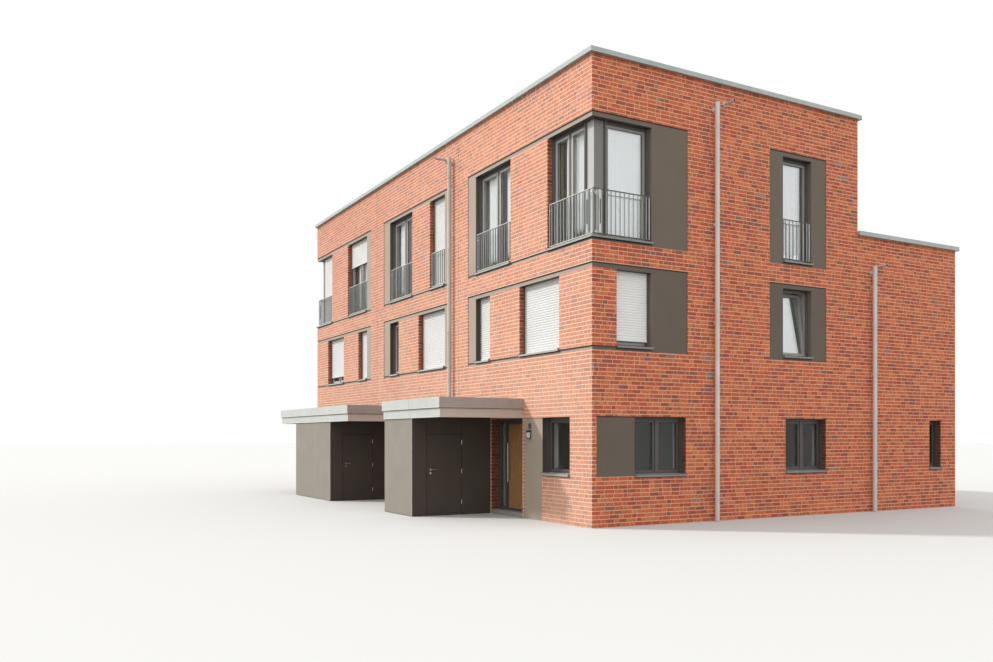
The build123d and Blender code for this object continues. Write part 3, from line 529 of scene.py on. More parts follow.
paint(brick_wall, "front_wall", "front_ground_wall", "right_end_wall", "left_end_wall", "rear_wall",
      "upper_rear_wall")
paint(render_coat, "end_render_bands", "end_render_panels", "front_render_bands", "front_render_panels")
paint(window_profile, "window_frames", "entrance_frame", "neighbour_frames")
paint(post_cladding, "corner_posts")
paint(glass, "window_panes", "sidelights")
paint(canopy_deck, "canopy_decks")
paint(roofing, "main_roof_slab", "rear_roof")
paint(plaster, "party_walls")
paint(storey_floor, "first_floor_slab", "second_floor_slab")
paint(concrete, "ground_slab")
for name in ("window_frames", "corner_posts", "entrance_frame", "neighbour_frames"):
    ease(nodes[name], 0.0025)


# Shapes


def shapes(count):
    """Empty shapes to build in."""
    return [bmesh.new() for _ in range(count)]


def block(shape, place, across, out, level):
    """A block between two positions across a wall, two distances out from it and two levels."""
    corners = [shape.verts.new(place(u, o, z))
               for z in sorted(level) for o in sorted(out) for u in sorted(across)]
    for corner in ((0, 1, 3, 2), (4, 6, 7, 5), (0, 4, 5, 1), (2, 3, 7, 6), (0, 2, 6, 4), (1, 5, 7, 3)):
        shape.faces.new([corners[i] for i in corner])


def skin(shape, rings, looped=False):
    """Joins rings of points, each to the next, and closes the two ends unless the rings form a loop."""
    size = len(rings[0])
    for near, far in zip(rings, rings[1:] + rings[:1] if looped else rings[1:]):
        for i in range(size):
            j = (i + 1) % size
            shape.faces.new((near[i], near[j], far[j], far[i]))
    if not looped:
        shape.faces.new(rings[0])
        shape.faces.new(rings[-1][::-1])


def length(shape, place, outline, across):
    """A straight length of one outline of (out, level) points, between two positions across a wall."""
    skin(shape, [[shape.verts.new(place(u, o, z)) for o, z in outline] for u in across])


def turn_at(spots, i, looped=False):
    """The step to the right of a path at one of its points, long enough to mitre it where it turns."""
    sides = []
    if i or looped:
        sides.append((spots[i] - spots[i - 1]).normalized())
    if i + 1 < len(spots) or looped:
        sides.append((spots[(i + 1) % len(spots)] - spots[i]).normalized())
    sides = [Vector((side.y, -side.x)) for side in sides]
    mitre = sum(sides, Vector((0, 0)))
    return mitre / (1 + sides[0].dot(sides[1])) if len(sides) == 2 else mitre


def run(shape, path, outline, looped=False):
    """Carries an outline of (out, level) points along a path in plan, mitred where it turns.

    Out is to the right of the way the path goes.
    """
    spots = [Vector(spot) for spot in path]
    rings = []
    for i, spot in enumerate(spots):
        mitre = turn_at(spots, i, looped)
        rings.append([shape.verts.new((spot.x + mitre.x * o, spot.y + mitre.y * o, z)) for o, z in outline])
    skin(shape, rings, looped)


def folded(line, thickness):
    """The outline of a folded sheet, from its outer line; the sheet lies to the right of the line's way."""
    spots = [Vector(spot) for spot in line]
    inner = [tuple(spot + turn_at(spots, i) * thickness) for i, spot in enumerate(spots)]
    return list(line) + inner[::-1]


def strip(out, level):
    """A rectangular outline between two distances out and two levels."""
    return [(out[0], level[0]), (out[1], level[0]), (out[1], level[1]), (out[0], level[1])]


def tube(shape, points, radii, flat=up, sides=20):
    """A round tube along points in a plane whose normal is flat, with one radius or one at each point."""
    if not isinstance(radii, (list, tuple)):
        radii = [radii] * len(points)
    rings = []
    for i, spot in enumerate(points):
        ahead = (points[min(i + 1, len(points) - 1)] - points[max(i - 1, 0)]).normalized()
        other = ahead.cross(flat)
        rings.append([shape.verts.new(spot + (flat * math.cos(turn) + other * math.sin(turn)) * radii[i])
                      for turn in (2 * math.pi * n / sides for n in range(sides))])
    skin(shape, rings)


def border(shape, place, across, level, width, out):
    """A frame of four strips inside a rectangle."""
    low, high = across
    foot, head = level
    block(shape, place, (low, low + width), out, level)
    block(shape, place, (high - width, high), out, level)
    block(shape, place, (low + width, high - width), out, (foot, foot + width))
    block(shape, place, (low + width, high - width), out, (head - width, head))


def piece(name, shape, material, slot, *replaced, body="building", edge=0.0):
    """Turns a finished shape into a piece that rides on its body, with softened edges where asked."""
    bmesh.ops.recalc_face_normals(shape, faces=shape.faces)
    mesh = bpy.data.meshes.new(name)
    shape.to_mesh(mesh)
    shape.free()
    mesh.materials.append(material)
    for face in mesh.polygons:
        face.use_smooth = True
    mesh.set_sharp_from_angle(angle=math.radians(32))
    made = bpy.data.objects.new(name, mesh)
    bpy.context.collection.objects.link(made)
    if edge:
        ease(made, edge, 40)
    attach(made, body)
    if replaced:
        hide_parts(*replaced)
    return made


def refinish(made, *finishes):
    """Gives a piece further finishes, each with the test that picks its faces."""
    for index, (material, picks) in enumerate(finishes, start=1):
        made.data.materials.append(material)
        for face in made.data.polygons:
            if picks(face):
                face.material_index = index


def on_ends(inset=0.0):
    """Picks the faces on the end walls, from a distance inside their outer face."""
    return lambda face: abs(face.center.x) > half_length - inset


def endward(face):
    """Picks the faces that look along the row."""
    return abs(face.normal.x) > 0.5


# The windows of the row: wall, span, sill, head, leaves, and how much of the opening the shutter covers
corner_front, end_corner = along(corner_clear, 1.62), back(corner_clear, 1.50)
corner_spans = (corner_front, turned(corner_front))
top_pair = along(3.165, 4.86)
first_wide, first_narrow = along(1.165, 2.775), along(4.13, 4.86)
kitchen = along(0.775, 1.835)
stairs = back(5.245, 6.165)
top, first, ground = (top_sill, top_head), (first_sill, first_head), (ground_sill, ground_head)
windows = [("front", span, *storey, leaves, cover) for storey, listed in (
    (top, ((corner_front, 2, 0.0), (top_pair, 2, 0.0), (along(6.565, 7.46), 1, 1.0),
           (along(8.61, 10.245), 2, 0.0), (turned(top_pair), 2, 0.33), (turned(corner_front), 2, 1.0))),
    (first, ((first_wide, 2, 1.0), (first_narrow, 1, 1.0), (along(6.565, 8.2), 2, 1.0),
             (along(9.575, 10.245), 1, 0.0), (turned(first_narrow), 1, 1.0), (turned(first_wide), 2, 0.86))),
    (ground, ((kitchen, 1, 0.0), (along(6.355, 7.415), 1, 0.0), (turned(kitchen), 1, 0.0))),
) for span, leaves, cover in listed]
for end in ends:
    windows += [(end, span, *storey, leaves, cover) for span, storey, leaves, cover in (
        (end_corner, top, 1, 0.0), (stairs, top, 1, 0.0), (back(0.60, 1.50), first, 1, 0.93),
        (back(1.06, 2.40), ground, 2, 0.0), (back(5.31, 6.63), ground, 2, 0.0),
        (back(10.40, 10.87), ground, 1, 0.0))]
for edge in (-half_length, -2.825, 2.825):
    for wall, near, far, sill, head, leaves in (
            ("rear", 1.1, 2.7, ground_floor, ground_head, 2), ("rear", 1.1, 2.3, *first, 1),
            ("rear", 3.4, 4.4, *first, 1), ("upper_rear", 1.1, 2.7, 5.95, top_head, 2),
            ("upper_rear", 3.4, 4.4, 6.64, top_head, 1)):
        windows.append((wall, (edge + near, edge + far), sill, head, leaves, 0.0))
tilted = [(end, stairs, *first, 1, 0.0) for end in ends]


def leaves_of(span, count):
    """The spans of a window's leaves."""
    low, high = span[0] + frame_edge, span[1] - frame_edge
    middle = (low + high) / 2
    if count == 1:
        return [(low, high)]
    return [(low, middle - frame_edge / 2), (middle + frame_edge / 2, high)]


# Gaskets round the panes and between sash and frame, and the sealing strips beside the corner posts
gaskets, beads = shapes(2)
bead_width = 0.012
for wall, span, sill, head, leaves, cover in windows:
    place = walls[wall]
    if cover == 1.0:
        continue
    for low, high in leaves_of(span, leaves):
        foot, top_edge = sill + frame_edge, head - frame_edge
        border(gaskets, place, (low, high), (foot, top_edge), 0.006, (-sash_back - 0.004, -sash_back + 0.003))
        pane, level = (low + sash_edge, high - sash_edge), (foot + sash_edge, top_edge - sash_edge)
        border(gaskets, place, pane, level, 0.007, (-glass_back - 0.001, -glass_back + 0.004))
        border(beads, place, (pane[0] - bead_width, pane[1] + bead_width),
               (level[0] - bead_width, level[1] + bead_width), bead_width,
               (-sash_back - 0.003, -sash_back + 0.003))
for end, side in ends.items():
    for wall, near, width in (("front", side * (half_length - corner_clear), -side * 0.010),
                              (end, corner_clear - half_depth, 0.010)):
        block(gaskets, walls[wall], (near, near + width), (-frame_back - 0.01, -frame_back + 0.003), top)
piece("pane_gaskets", gaskets, rubber, "frame")
piece("glazing_beads", beads, window_profile, "frame", edge=0.002)

# Lowered roller shutters: interlocking crowned slats over a narrow gap, with a heavier bottom bar
slats, bars, hinges = shapes(3)
slat_pitch, slat_gap, guide = 0.053, 0.003, 0.040
slat_back, slat_edge, slat_shoulder, slat_crown = -0.143, -0.1362, -0.1332, -0.1312
for wall, (low, high), sill, head, leaves, cover in windows:
    if not cover:
        continue
    place = walls[wall]
    across = (low + guide, high - guide)
    foot = head - cover * (head - sill - 0.025)
    level = foot + 0.052
    while level < head:
        upper = min(level + slat_pitch - slat_gap, head)
        rise = upper - level
        if rise > 0.012:
            length(slats, place, [
                (slat_back, level), (slat_edge, level), (slat_shoulder, level + rise * 0.10),
                (slat_crown, level + rise * 0.35), (slat_crown, level + rise * 0.65),
                (slat_shoulder, level + rise * 0.90), (slat_edge, upper), (slat_back, upper)], across)
        level += slat_pitch
    block(hinges, place, across, (-0.1425, -0.1380), (foot + 0.04, head))
    length(bars, place, [(-0.146, foot + 0.006), (-0.128, foot + 0.006), (-0.127, foot + 0.010),
                         (-0.127, foot + 0.046), (-0.130, foot + 0.050), (-0.146, foot + 0.050)], across)
    block(bars, place, across, (-0.143, -0.131), (foot, foot + 0.006))
# The end-wall slats take the paler copy, painted light
refinish(piece("shutter_slats", slats, shutter_slat, "shutter", "roller_shutters"), (shade_lifted_slat, on_ends(0.16)))
refinish(piece("shutter_bottom_bars", bars, shutter_slat, "shutter"), (shade_lifted_slat, on_ends(0.16)))
piece("shutter_hinge_gaps", hinges, sill_sheet, "shutter")

# Sills of folded sheet: a slight fall to the front, a lip with a drip, grey end caps and a black bed; the end
# caps are in the darker copy as painted shade, and the bed hangs below the lip as a painted shadow
sills, sill_ends, sill_beds_and_shadows = shapes(3)


def sill_outline(level):
    """The folded sheet of a sill, from the window frame to its drip."""
    return folded([(-0.158, level + 0.034), (-0.156, level + 0.028), (0.038, level + 0.016),
                   (0.040, level + 0.014), (0.040, level - 0.020), (0.033, level - 0.024)], 0.002)


def sill_end(wall, spot, side, level):
    """The cap on one end of a sill, on the given side of its end."""
    block(sill_ends, walls[wall], (spot, spot + side * 0.012), (-0.156, 0.044),
          (level - 0.022, level + 0.040))


for wall, span, sill, head, leaves, cover in windows + tilted:
    if span in corner_spans + (end_corner,):
        continue
    length(sills, walls[wall], sill_outline(sill), span)
    sill_end(wall, span[0], 1, sill)
    sill_end(wall, span[1], -1, sill)
    bedded = (span[0] + 0.002, span[1] - 0.002)
    block(sill_beds_and_shadows, walls[wall], bedded, (-0.158, 0.004), (sill + 0.0005, sill + 0.013))
    # The black strip below the sill is a painted shadow under the lip
    block(sill_beds_and_shadows, walls[wall], bedded, (-0.020, 0.002), (sill - 0.036, sill + 0.0005))


def corner_paths(inset=0.0):
    """The way round each top corner window in plan, from an inset at its one end to the same at its other."""
    path = [(corner_front[0] + inset, -half_depth), (half_length, -half_depth),
            (half_length, end_corner[1] - inset)]
    return path, [(-x, y) for x, y in path[::-1]]


for path in corner_paths():
    run(sills, path, sill_outline(top_sill))
    # The bed, with its black painted shadow below the lip
    run(sill_beds_and_shadows, path, [(-0.158, top_sill + 0.0005), (-0.020, top_sill + 0.0005),
                          (-0.020, top_sill - 0.040), (0.002, top_sill - 0.040), (0.002, top_sill + 0.013),
                          (-0.158, top_sill + 0.013)])
for end, side in ends.items():
    sill_end("front", side * corner_front[0], side, top_sill)
    sill_end(end, end_corner[1], -1, top_sill)
refinish(piece("folded_sills", sills, sill_sheet, "sill", "front_sills", "end_sills", "rear_sills"),
         (shaded_sill_sheet, on_ends(0.17)))
piece("sill_end_caps", sill_ends, shaded_sill_sheet, "sill", edge=0.003)
piece("sill_beds_and_shadows", sill_beds_and_shadows, rubber, "sill")

# Dark soffit strips on both sides of the shutter slots, and plates of the darker post cladding on the end
# faces of the corner posts as painted shade
soffits, post_shade_plates = shapes(2)
for depth in ((-0.160, -0.150), (-0.124, -0.018)):
    for wall, span, sill, head, leaves, cover in windows + tilted:
        if span not in corner_spans + (end_corner,):
            block(soffits, walls[wall], span, depth, (head - 0.006, head + 0.001))
    for path in corner_paths():
        run(soffits, path, strip(depth, (top_head - 0.006, top_head + 0.001)))
for end in ends:
    block(post_shade_plates, walls[end], back(0.162, 0.398), (-0.161, -0.156), (top_sill + 0.040, top_head - 0.006))
piece("shutter_box_soffits", soffits, lamp_metal, "frame")
piece("post_end_shade_plates", post_shade_plates, shaded_post_cladding, "frame", edge=0.002)

# Black strips at the upper edge of each band of render, thinner on the end walls: painted shadow under the
# edge above the recess
shadow_tapes = bmesh.new()
tape_out, tape_top = (-0.016, -0.006), 0.0005


def shadow_tape(wall, span, level, height):
    """A length of painted shadow strip just under a level."""
    block(shadow_tapes, walls[wall], span, tape_out, (level - height, level - tape_top))


for sill, head in (top, first):
    for level in (head + head_band, sill):
        for span in (along(0.0, 5.25), along(6.14, 10.695), turned(along(0.0, 5.25))):
            shadow_tape("front", span, level, 0.026)
    for end in ends:
        for span, level in ((back(0.0, 2.445), head + head_band), (back(4.82, 6.635), head + head_band),
                            (back(0.0, 0.60), sill)):
            shadow_tape(end, span, level, 0.016)
for end in ends:
    shadow_tape(end, back(0.11, 1.06), ground_head, 0.016)
piece("render_painted_shadow_tapes", shadow_tapes, rubber, "render")

# Railings: flat rails and upright flats, fixed with lugs into the reveals and bracketed to the corner posts
rail_foot, rail_head = top_sill + 0.06, top_sill + 0.96
rail_thick, bar_thick, end_bar_thick, bar_pitch = 0.015, 0.010, 0.012, 0.11
rail_setback, rail_end, end_bar = 0.05, 0.028, 0.035
bar_out, rail_out = (-0.062, -0.038), (-0.069, -0.031)
between_rails = (rail_foot + rail_thick, rail_head - rail_thick)
rail_levels = [(foot, foot + rail_thick) for foot in (rail_foot, rail_head - rail_thick)]
rails, fixings, brackets = shapes(3)


def upright(place, spot, thick, out):
    """An upright flat between the two rails."""
    block(rails, place, (spot - thick / 2, spot + thick / 2), out, between_rails)


def lug(place, spot, side):
    """Two flat lugs from an end bar into the reveal, each with its bolt."""
    for level in (rail_foot + 0.12, rail_head - 0.14):
        block(rails, place, (spot, spot + side * 0.045), (-0.060, -0.040), (level, level + 0.008))
        tube(fixings, [place(spot + side * reach, -0.050, level + 0.004) for reach in (-0.012, 0.010)], 0.012,
             sides=10)


for wall, (low, high), sill, head, leaves, cover in windows:
    if sill != top_sill or wall not in ("front", *ends):
        continue
    place = walls[wall]
    at_corner = (low, high) in corner_spans + (end_corner,)
    if at_corner and wall != "front":
        low = rail_setback - half_depth
    elif at_corner and low > 0:
        high = half_length - rail_setback
    elif at_corner:
        low = rail_setback - half_length
    count = round((high - low) / bar_pitch)
    pitch = (high - low) / count
    for number in range(1, count):
        upright(place, low + number * pitch, bar_thick, bar_out)
    for spot, side in ((low, 1), (high, -1)):
        corner = abs(spot) > half_length - 0.1 if wall == "front" else spot < 0.1 - half_depth
        if not corner:
            upright(place, spot + side * end_bar, end_bar_thick, rail_out)
            lug(place, spot + side * end_bar, -side)
    if not at_corner:
        for level in rail_levels:
            block(rails, place, (low + rail_end, high - rail_end), rail_out, level)
for path in corner_paths(rail_end):
    for level in rail_levels:
        run(rails, path, strip(rail_out, level))


def bracket(place, spot, level, drop):
    """A bracket from the corner post: a round foot on the post, a stub, and a strap bolted to an upright."""
    for outs, radii, sides, shift in (((-0.158, -0.148), 0.045, 20, 0), ((-0.150, -0.036), 0.013, 14, 0),
                                      ((-0.036, -0.026), (0.021, 0.019), 6, 0),
                                      ((-0.036, -0.027), (0.012, 0.010), 6, 0.12)):
        tube(brackets, [place(spot, out, level + drop * shift) for out in outs], radii, sides=sides)
    block(brackets, place, (spot - 0.020, spot + 0.020), (-0.038, -0.030),
          (level - drop * 0.03, level + drop * 0.15))


for end, side in ends.items():
    corner = (side * (half_length - rail_setback), rail_setback - half_depth)
    block(rails, walls["plan"], *((middle - end_bar_thick, middle + end_bar_thick) for middle in corner),
          between_rails)
    for wall, spot in (("front", side * (half_length - 0.215)), (end, 0.215 - half_depth)):
        upright(walls[wall], spot, end_bar_thick, rail_out)
        bracket(walls[wall], spot, rail_head - 0.055, -1)
        bracket(walls[wall], spot, rail_foot + 0.055, 1)
# Faces that look along the row and undersides take painted shade, darkest on the end walls
refinish(piece("flat_bar_railings", rails, galvanised, "galvanised", "front_railings", "end_railings",
               edge=0.0012),
         (shaded_steel, lambda face: endward(face) or face.normal.z < -0.5),
         (deep_shaded_steel, lambda face: endward(face) and abs(face.center.x) >= half_length - 0.10))
piece("railing_fixings", fixings, bright_zinc, "galvanised")
piece("corner_brackets", brackets, bright_zinc, "galvanised", edge=0.001)

# Copings: folded sheet with a fall to the roof, drips on both sides, and cover strips over the butt joints
copings, cover_strips = shapes(2)


def coping_outline(wall_top, lift=0.0):
    """Sheet over a wall, out from the wall face; lift raises it for the cover strips."""
    return folded([(-0.500 - lift, wall_top + 0.012), (-0.492 - lift, wall_top + 0.020),
                   (-0.490 - lift, wall_top + 0.072 + lift), (0.068 + lift, wall_top + 0.098 + lift),
                   (0.070 + lift, wall_top + 0.096), (0.070 + lift, wall_top + 0.010),
                   (0.080 + lift, wall_top - 0.002)], 0.003)


def coping(path, wall_top, looped):
    """A run of coping with a soffit strip under its lip, and a cover strip about every three metres."""
    run(copings, path, coping_outline(wall_top), looped)
    run(copings, path, strip((0.002, 0.066), (wall_top + 0.001, wall_top + 0.004)), looped)
    spots = [Vector(spot) for spot in path]
    for near, far in zip(spots, spots[1:] + spots[:1] if looped else spots[1:]):
        reach, way = (far - near).length, (far - near).normalized()
        count = max(1, round(reach / 3.0))
        for number in range(1, count):
            middle = near + way * (reach * number / count)
            run(cover_strips, [middle - way * 0.06, middle + way * 0.06], coping_outline(wall_top, 0.002))


coping([(-half_length, -half_depth), (half_length, -half_depth), (half_length, step), (-half_length, step)],
       main_wall_top, True)
coping([(half_length, step + 0.002), (half_length, half_depth), (-half_length, half_depth),
        (-half_length, step + 0.002)], rear_wall_top, False)
# Stop ends where the lower coping meets the upper wall
for end in ends:
    length(copings, walls[end], [(-0.486, rear_wall_top + 0.025), (-0.486, rear_wall_top + 0.068),
                                 (0.065, rear_wall_top + 0.094), (0.065, rear_wall_top + 0.010)],
           (step + 0.003, step + 0.006))
piece("folded_copings", copings, coping_sheet, "coping", "main_coping", "rear_coping")
piece("coping_joint_strips", cover_strips, coping_sheet, "coping")

# Downpipes: sockets down the length, a branch into the wall under the head, and bands on stems with plates
pipes, bands = shapes(2)
pipe_out, pipe_radius, pipe_length = 0.095, 0.050, 2.09


def downpipe(place, spot, cap):
    """A downpipe at a spot on a wall, up to its cap."""
    flat = (place(spot + 1, 0, 0) - place(spot, 0, 0)).normalized()
    profile = [(0.02, pipe_radius)]
    level = 2.35
    while level < cap - 0.5:
        profile += [(level, pipe_radius), (level + 0.004, 0.0545), (level + 0.070, 0.0545),
                    (level + 0.080, 0.0515), (level + 0.084, pipe_radius)]
        level += pipe_length
    profile += [(cap + 0.034, pipe_radius), (cap + 0.036, 0.053), (cap + 0.048, 0.053),
                (cap + 0.050, pipe_radius)]
    tube(pipes, [place(spot, pipe_out, z) for z, radius in profile], [radius for z, radius in profile], flat,
         28)
    tube(pipes, [place(spot, out, cap - 0.10) for out in (0.09, 0.012, 0.011, 0.0)],
         (0.046, 0.046, 0.062, 0.062), flat, 24)
    level = cap - 0.46
    while level > 0.2:
        tube(bands, [place(spot, pipe_out, level + rise) for rise in (-0.015, -0.014, 0.014, 0.015)],
             (0.0535, 0.0555, 0.0555, 0.0535), flat, 28)
        for side in (-1, 1):
            block(bands, place, (spot + side * 0.053, spot + side * 0.078), (0.089, 0.101),
                  (level - 0.013, level + 0.013))
        tube(bands, [place(spot, out, level) for out in (0.045, 0.005)], 0.006, flat, 10)
        tube(bands, [place(spot, out, level) for out in (0.006, 0.0)], 0.022, flat, 16)
        level -= pipe_length


for end in ends:
    downpipe(walls[end], 3.18 - half_depth, 8.85)
    downpipe(walls[end], 8.21 - half_depth, 5.83)
downpipe(walls["front"], half_length - 6.09, 8.85)
# The pipes and bands on the end walls take the paler copy, painted sky light
refinish(piece("zinc_downpipes", pipes, zinc, "zinc", "downpipes"), (sky_lit_zinc, on_ends()))
refinish(piece("downpipe_bands", bands, zinc, "zinc"), (sky_lit_zinc, on_ends()))

# Overflow spouts: a tube with a rolled end and a wall rosette; a black disc in its mouth is painted shade of
# the open bore
spouts, bore_shadows = shapes(2)
spout_outs = (0.0, 0.001, 0.006, 0.008, 0.010, 0.284, 0.286, 0.297, 0.300)
spout_radii = (0.052, 0.055, 0.055, 0.045, 0.030, 0.030, 0.034, 0.034, 0.031)
spout_spots = [(end, distance - half_depth, level)
               for end in ends for distance, level in ((3.47, 8.925), (8.38, 5.89))]
for wall, spot, level in spout_spots + [("front", half_length - 6.48, 8.95)]:
    place = walls[wall]
    flat = (place(1, 0, 0) - place(0, 0, 0)).normalized()
    tube(spouts, [place(spot, out, level) for out in spout_outs], spout_radii, flat, 24)
    tube(bore_shadows, [place(spot, out, level) for out in (0.2985, 0.3008)], 0.026, flat, 24)
piece("overflow_spout_tubes", spouts, zinc, "zinc", "overflow_spouts")
piece("overflow_spout_bore_shadows", bore_shadows, rubber, "zinc")

# Canopies: an upper fascia of folded sheet over a recessed lower one, in lengths with open butt joints
fascias, splices = shapes(2)
canopy_reach = 2.07
canopy_front = -half_depth - canopy_reach
fascia_split = 2.41
butt_gap = 0.004
upper_fascia = folded([(-0.16, 2.622), (-0.004, 2.640), (0.0, 2.637), (0.0, 2.424), (0.006, 2.416),
                       (0.003, 2.411)], 0.003)
lower_fascia = folded([(-0.052, 2.403), (-0.032, 2.403), (-0.030, 2.401), (-0.030, 2.222), (-0.023, 2.212),
                       (-0.030, 2.209)], 0.003)
for low, high, lengths in ((2.74, 5.91, 2), (-5.91, 0.33, 3)):
    cuts = [low + (high - low) * number / lengths for number in range(lengths + 1)]
    for number in range(lengths):
        near = cuts[number] + (butt_gap if number else 0)
        far = cuts[number + 1] - (butt_gap if number + 1 < lengths else 0)
        path = [(near, canopy_front), (far, canopy_front)]
        if not number:
            path.insert(0, (low, -half_depth))
        if number + 1 == lengths:
            path.append((high, -half_depth))
        run(fascias, path, upper_fascia)
        run(fascias, path, lower_fascia)
    for cut in cuts[1:-1]:
        for behind, level in ((0.0045, (2.426, 2.630)), (0.0345, (2.224, 2.398))):
            block(splices, walls["front"], (cut - 0.03, cut + 0.03),
                  (canopy_reach - behind - 0.0075, canopy_reach - behind), level)
# The ends of the fascias take the darker copies, painted shade
refinish(piece("canopy_fascia_sheets", fascias, canopy_sheet, "canopy", "canopy_fascias",
               "canopy_side_fascias"),
         (shaded_canopy_sheet, endward),
         (lower_shaded_canopy_sheet, lambda face: endward(face) and face.center.z <= fascia_split))
piece("canopy_splice_plates", splices, rubber, "canopy")

# Stores: boards with open joints on a dark backing, aluminium corner trims, and doors under the canopies
boards, side_boards, trims, backing, store_leaves, fittings = shapes(6)
plan = walls["plan"]
store_front, store_top = canopy_front + 0.05, 2.25
store_end, store_edge = 2.79, half_length - 4.10
shifted_edge = store_edge - house_shift
board, panel, board_foot, joint = 0.012, 0.060, 0.01, 0.004
door_low, door_high, door_top = store_front + 0.365, store_front + 1.265, 1.86
side_joint = store_front + 1.04
for low, high, count in ((store_end, store_edge, 1), (-store_edge, shifted_edge, 2)):
    block(backing, plan, (low + joint, high - joint), (store_front + board, store_front + panel),
          (0.0, store_top))
    for number in range(count):
        near = low + (high - low) * number / count + joint
        far = low + (high - low) * (number + 1) / count - joint
        block(boards, plan, (near, far), (store_front, store_front + board), (board_foot, store_top))
doorways = ((store_edge, 1), (-store_edge, -1), (shifted_edge, 1))
for edge, side in ((store_end, -1),) + doorways:
    if edge == store_end:
        spans = [(store_front + board, side_joint, board_foot), (side_joint, -half_depth, board_foot)]
    else:
        spans = [(store_front + board, door_low, board_foot), (door_high, -half_depth, board_foot),
                 (door_low, door_high, door_top)]
        block(trims, plan, (edge + side * 0.002, edge - side * 0.016),
              (store_front - 0.003, store_front + 0.010), (0.0, store_top))
    for near, far, foot in spans:
        block(side_boards, plan, (edge, edge - side * board), (near + joint, far - joint),
              (foot + joint, store_top - joint))
        block(backing, plan, (edge - side * board, edge - side * panel),
              (max(near, store_front + panel), far), (foot - board_foot, store_top))
block(backing, plan, (-2.77, -2.71), (store_front + panel, -half_depth), (0.0, store_top))
for edge, side in doorways:
    leaf_low, leaf_high, leaf_foot, leaf_top = door_low + 0.006, door_high - 0.006, 0.012, door_top - 0.008
    rim_low, rim_high = door_low + 0.05, door_high - 0.05
    block(store_leaves, plan, (edge - side * board, edge - side * 0.058), (leaf_low, leaf_high),
          (leaf_foot, leaf_top))
    for near, far, foot, head in (
            (leaf_low, rim_low, leaf_foot, leaf_top), (rim_high, leaf_high, leaf_foot, leaf_top),
            (rim_low, rim_high, door_top - 0.06, leaf_top), (rim_low, rim_high, leaf_foot, 0.10)):
        block(store_leaves, plan, (edge - side * board, edge - side * 0.006), (near, far), (foot, head))
    # A lever handle on its rose, a lock rose under it, and hinge barrels at the other edge
    lever = door_low + 0.10
    for outs, turns, level, radius, sides in (((-board, 0.045), (0, 0), 1.05, 0.009, 12),
                                              ((0.045, 0.045), (-0.008, 0.12), 1.05, 0.009, 12),
                                              ((-board, -0.002), (0, 0), 1.05, 0.026, 18),
                                              ((-board, -0.002), (0, 0), 0.97, 0.026, 18)):
        tube(fittings, [plan(edge + side * out, lever + turn, level) for out, turn in zip(outs, turns)],
             radius, sides=sides)
    for level in (0.25, 0.95, 1.62):
        tube(fittings, [plan(edge - side * 0.006, door_high - 0.003, z) for z in (level, level + 0.10)],
             0.010, Vector((0, 1, 0)), 12)
piece("store_front_boards", boards, store_panel, "panel", "store_fronts", edge=0.002)
# The side boards and door leaves take the darker copy, painted shade
piece("store_side_boards", side_boards, shaded_store_panel, "panel", "store_sides", edge=0.002)
piece("store_backing", backing, rubber, "panel")
piece("store_corner_trims", trims, sill_sheet, "panel", edge=0.001)
piece("store_door_leaves", store_leaves, shaded_store_panel, "panel", "store_doors", edge=0.003)
piece("store_door_fittings", fittings, stainless, "steel")

# Entrance doors: upright oak boards with open grooves in a dark aluminium rim, steel bar handles and knuckles
leaf_back, leaf_face = -0.290, -0.222
rim_depth, rim_width, oak_inset, oak_gap = 0.014, 0.045, 0.048, 0.0015
board_count = 7
handle_reach = 0.948
handle_out = leaf_face + 0.045


def door_leaf(edge, side, start, stop, foot, head):
    """A leaf with its rim, boards and bar handle, measured from the hinge edge of the doorway."""
    rim, oak_boards, handle = shapes(3)
    place = walls["front"]
    low, high = sorted((edge + side * start, edge + side * stop))
    block(rim, place, (low, high), (leaf_back, leaf_face - rim_depth), (foot, head))
    border(rim, place, (low, high), (foot, head), rim_width, (leaf_face - rim_depth, leaf_face))
    pitch = (high - low - 2 * oak_inset) / board_count
    for number in range(board_count):
        near = low + oak_inset + number * pitch
        block(oak_boards, place, (near + oak_gap, near + pitch - oak_gap),
              (leaf_face - 0.016, leaf_face - 0.002), (foot + oak_inset, head - oak_inset))
    x = edge + side * handle_reach
    tube(handle, [place(x, handle_out, z) for z in (0.750, 0.752, 1.648, 1.650)],
         (0.012, 0.014, 0.014, 0.012), sideways)
    for z in (0.85, 1.55):
        tube(handle, [place(x, out, z) for out in (handle_out, leaf_face)], 0.009, sideways, 14)
        tube(handle, [place(x, out, z) for out in (-0.219, -0.223)], 0.017, sideways, 18)
    tube(handle, [place(x - side * 0.07, out, 1.05) for out in (-0.218, -0.223)], 0.024, sideways)
    return rim, oak_boards, handle


hinge_edge = 5.85
leaf_rim, leaf_boards, leaf_handle = door_leaf(hinge_edge, -1, 0.078, 1.028, 0.108, 2.127)
pivot_x, pivot_y, knuckle = hinge_edge - 0.074, 0.304 - half_depth, 0.045
for level in (0.35, 1.15, 1.90):
    tube(leaf_rim, [plan(pivot_x, pivot_y, z) for z in (level, level + knuckle)], 0.009, sideways, 16)
    for far, deep in ((0, 0.006), (0.012, 0.014)):
        block(leaf_rim, plan, (pivot_x - 0.026, pivot_x - far), (pivot_y - deep, pivot_y),
              (level, level + knuckle))
piece("entrance_leaf_rim", leaf_rim, window_profile, "door", "entrance_door", body="entrance_door_leaf",
      edge=0.0015)
piece("entrance_leaf_boards", leaf_boards, oak, "door", body="entrance_door_leaf", edge=0.0015)
piece("entrance_bar_handle", leaf_handle, stainless, "steel", "entrance_handle", body="entrance_door_leaf")
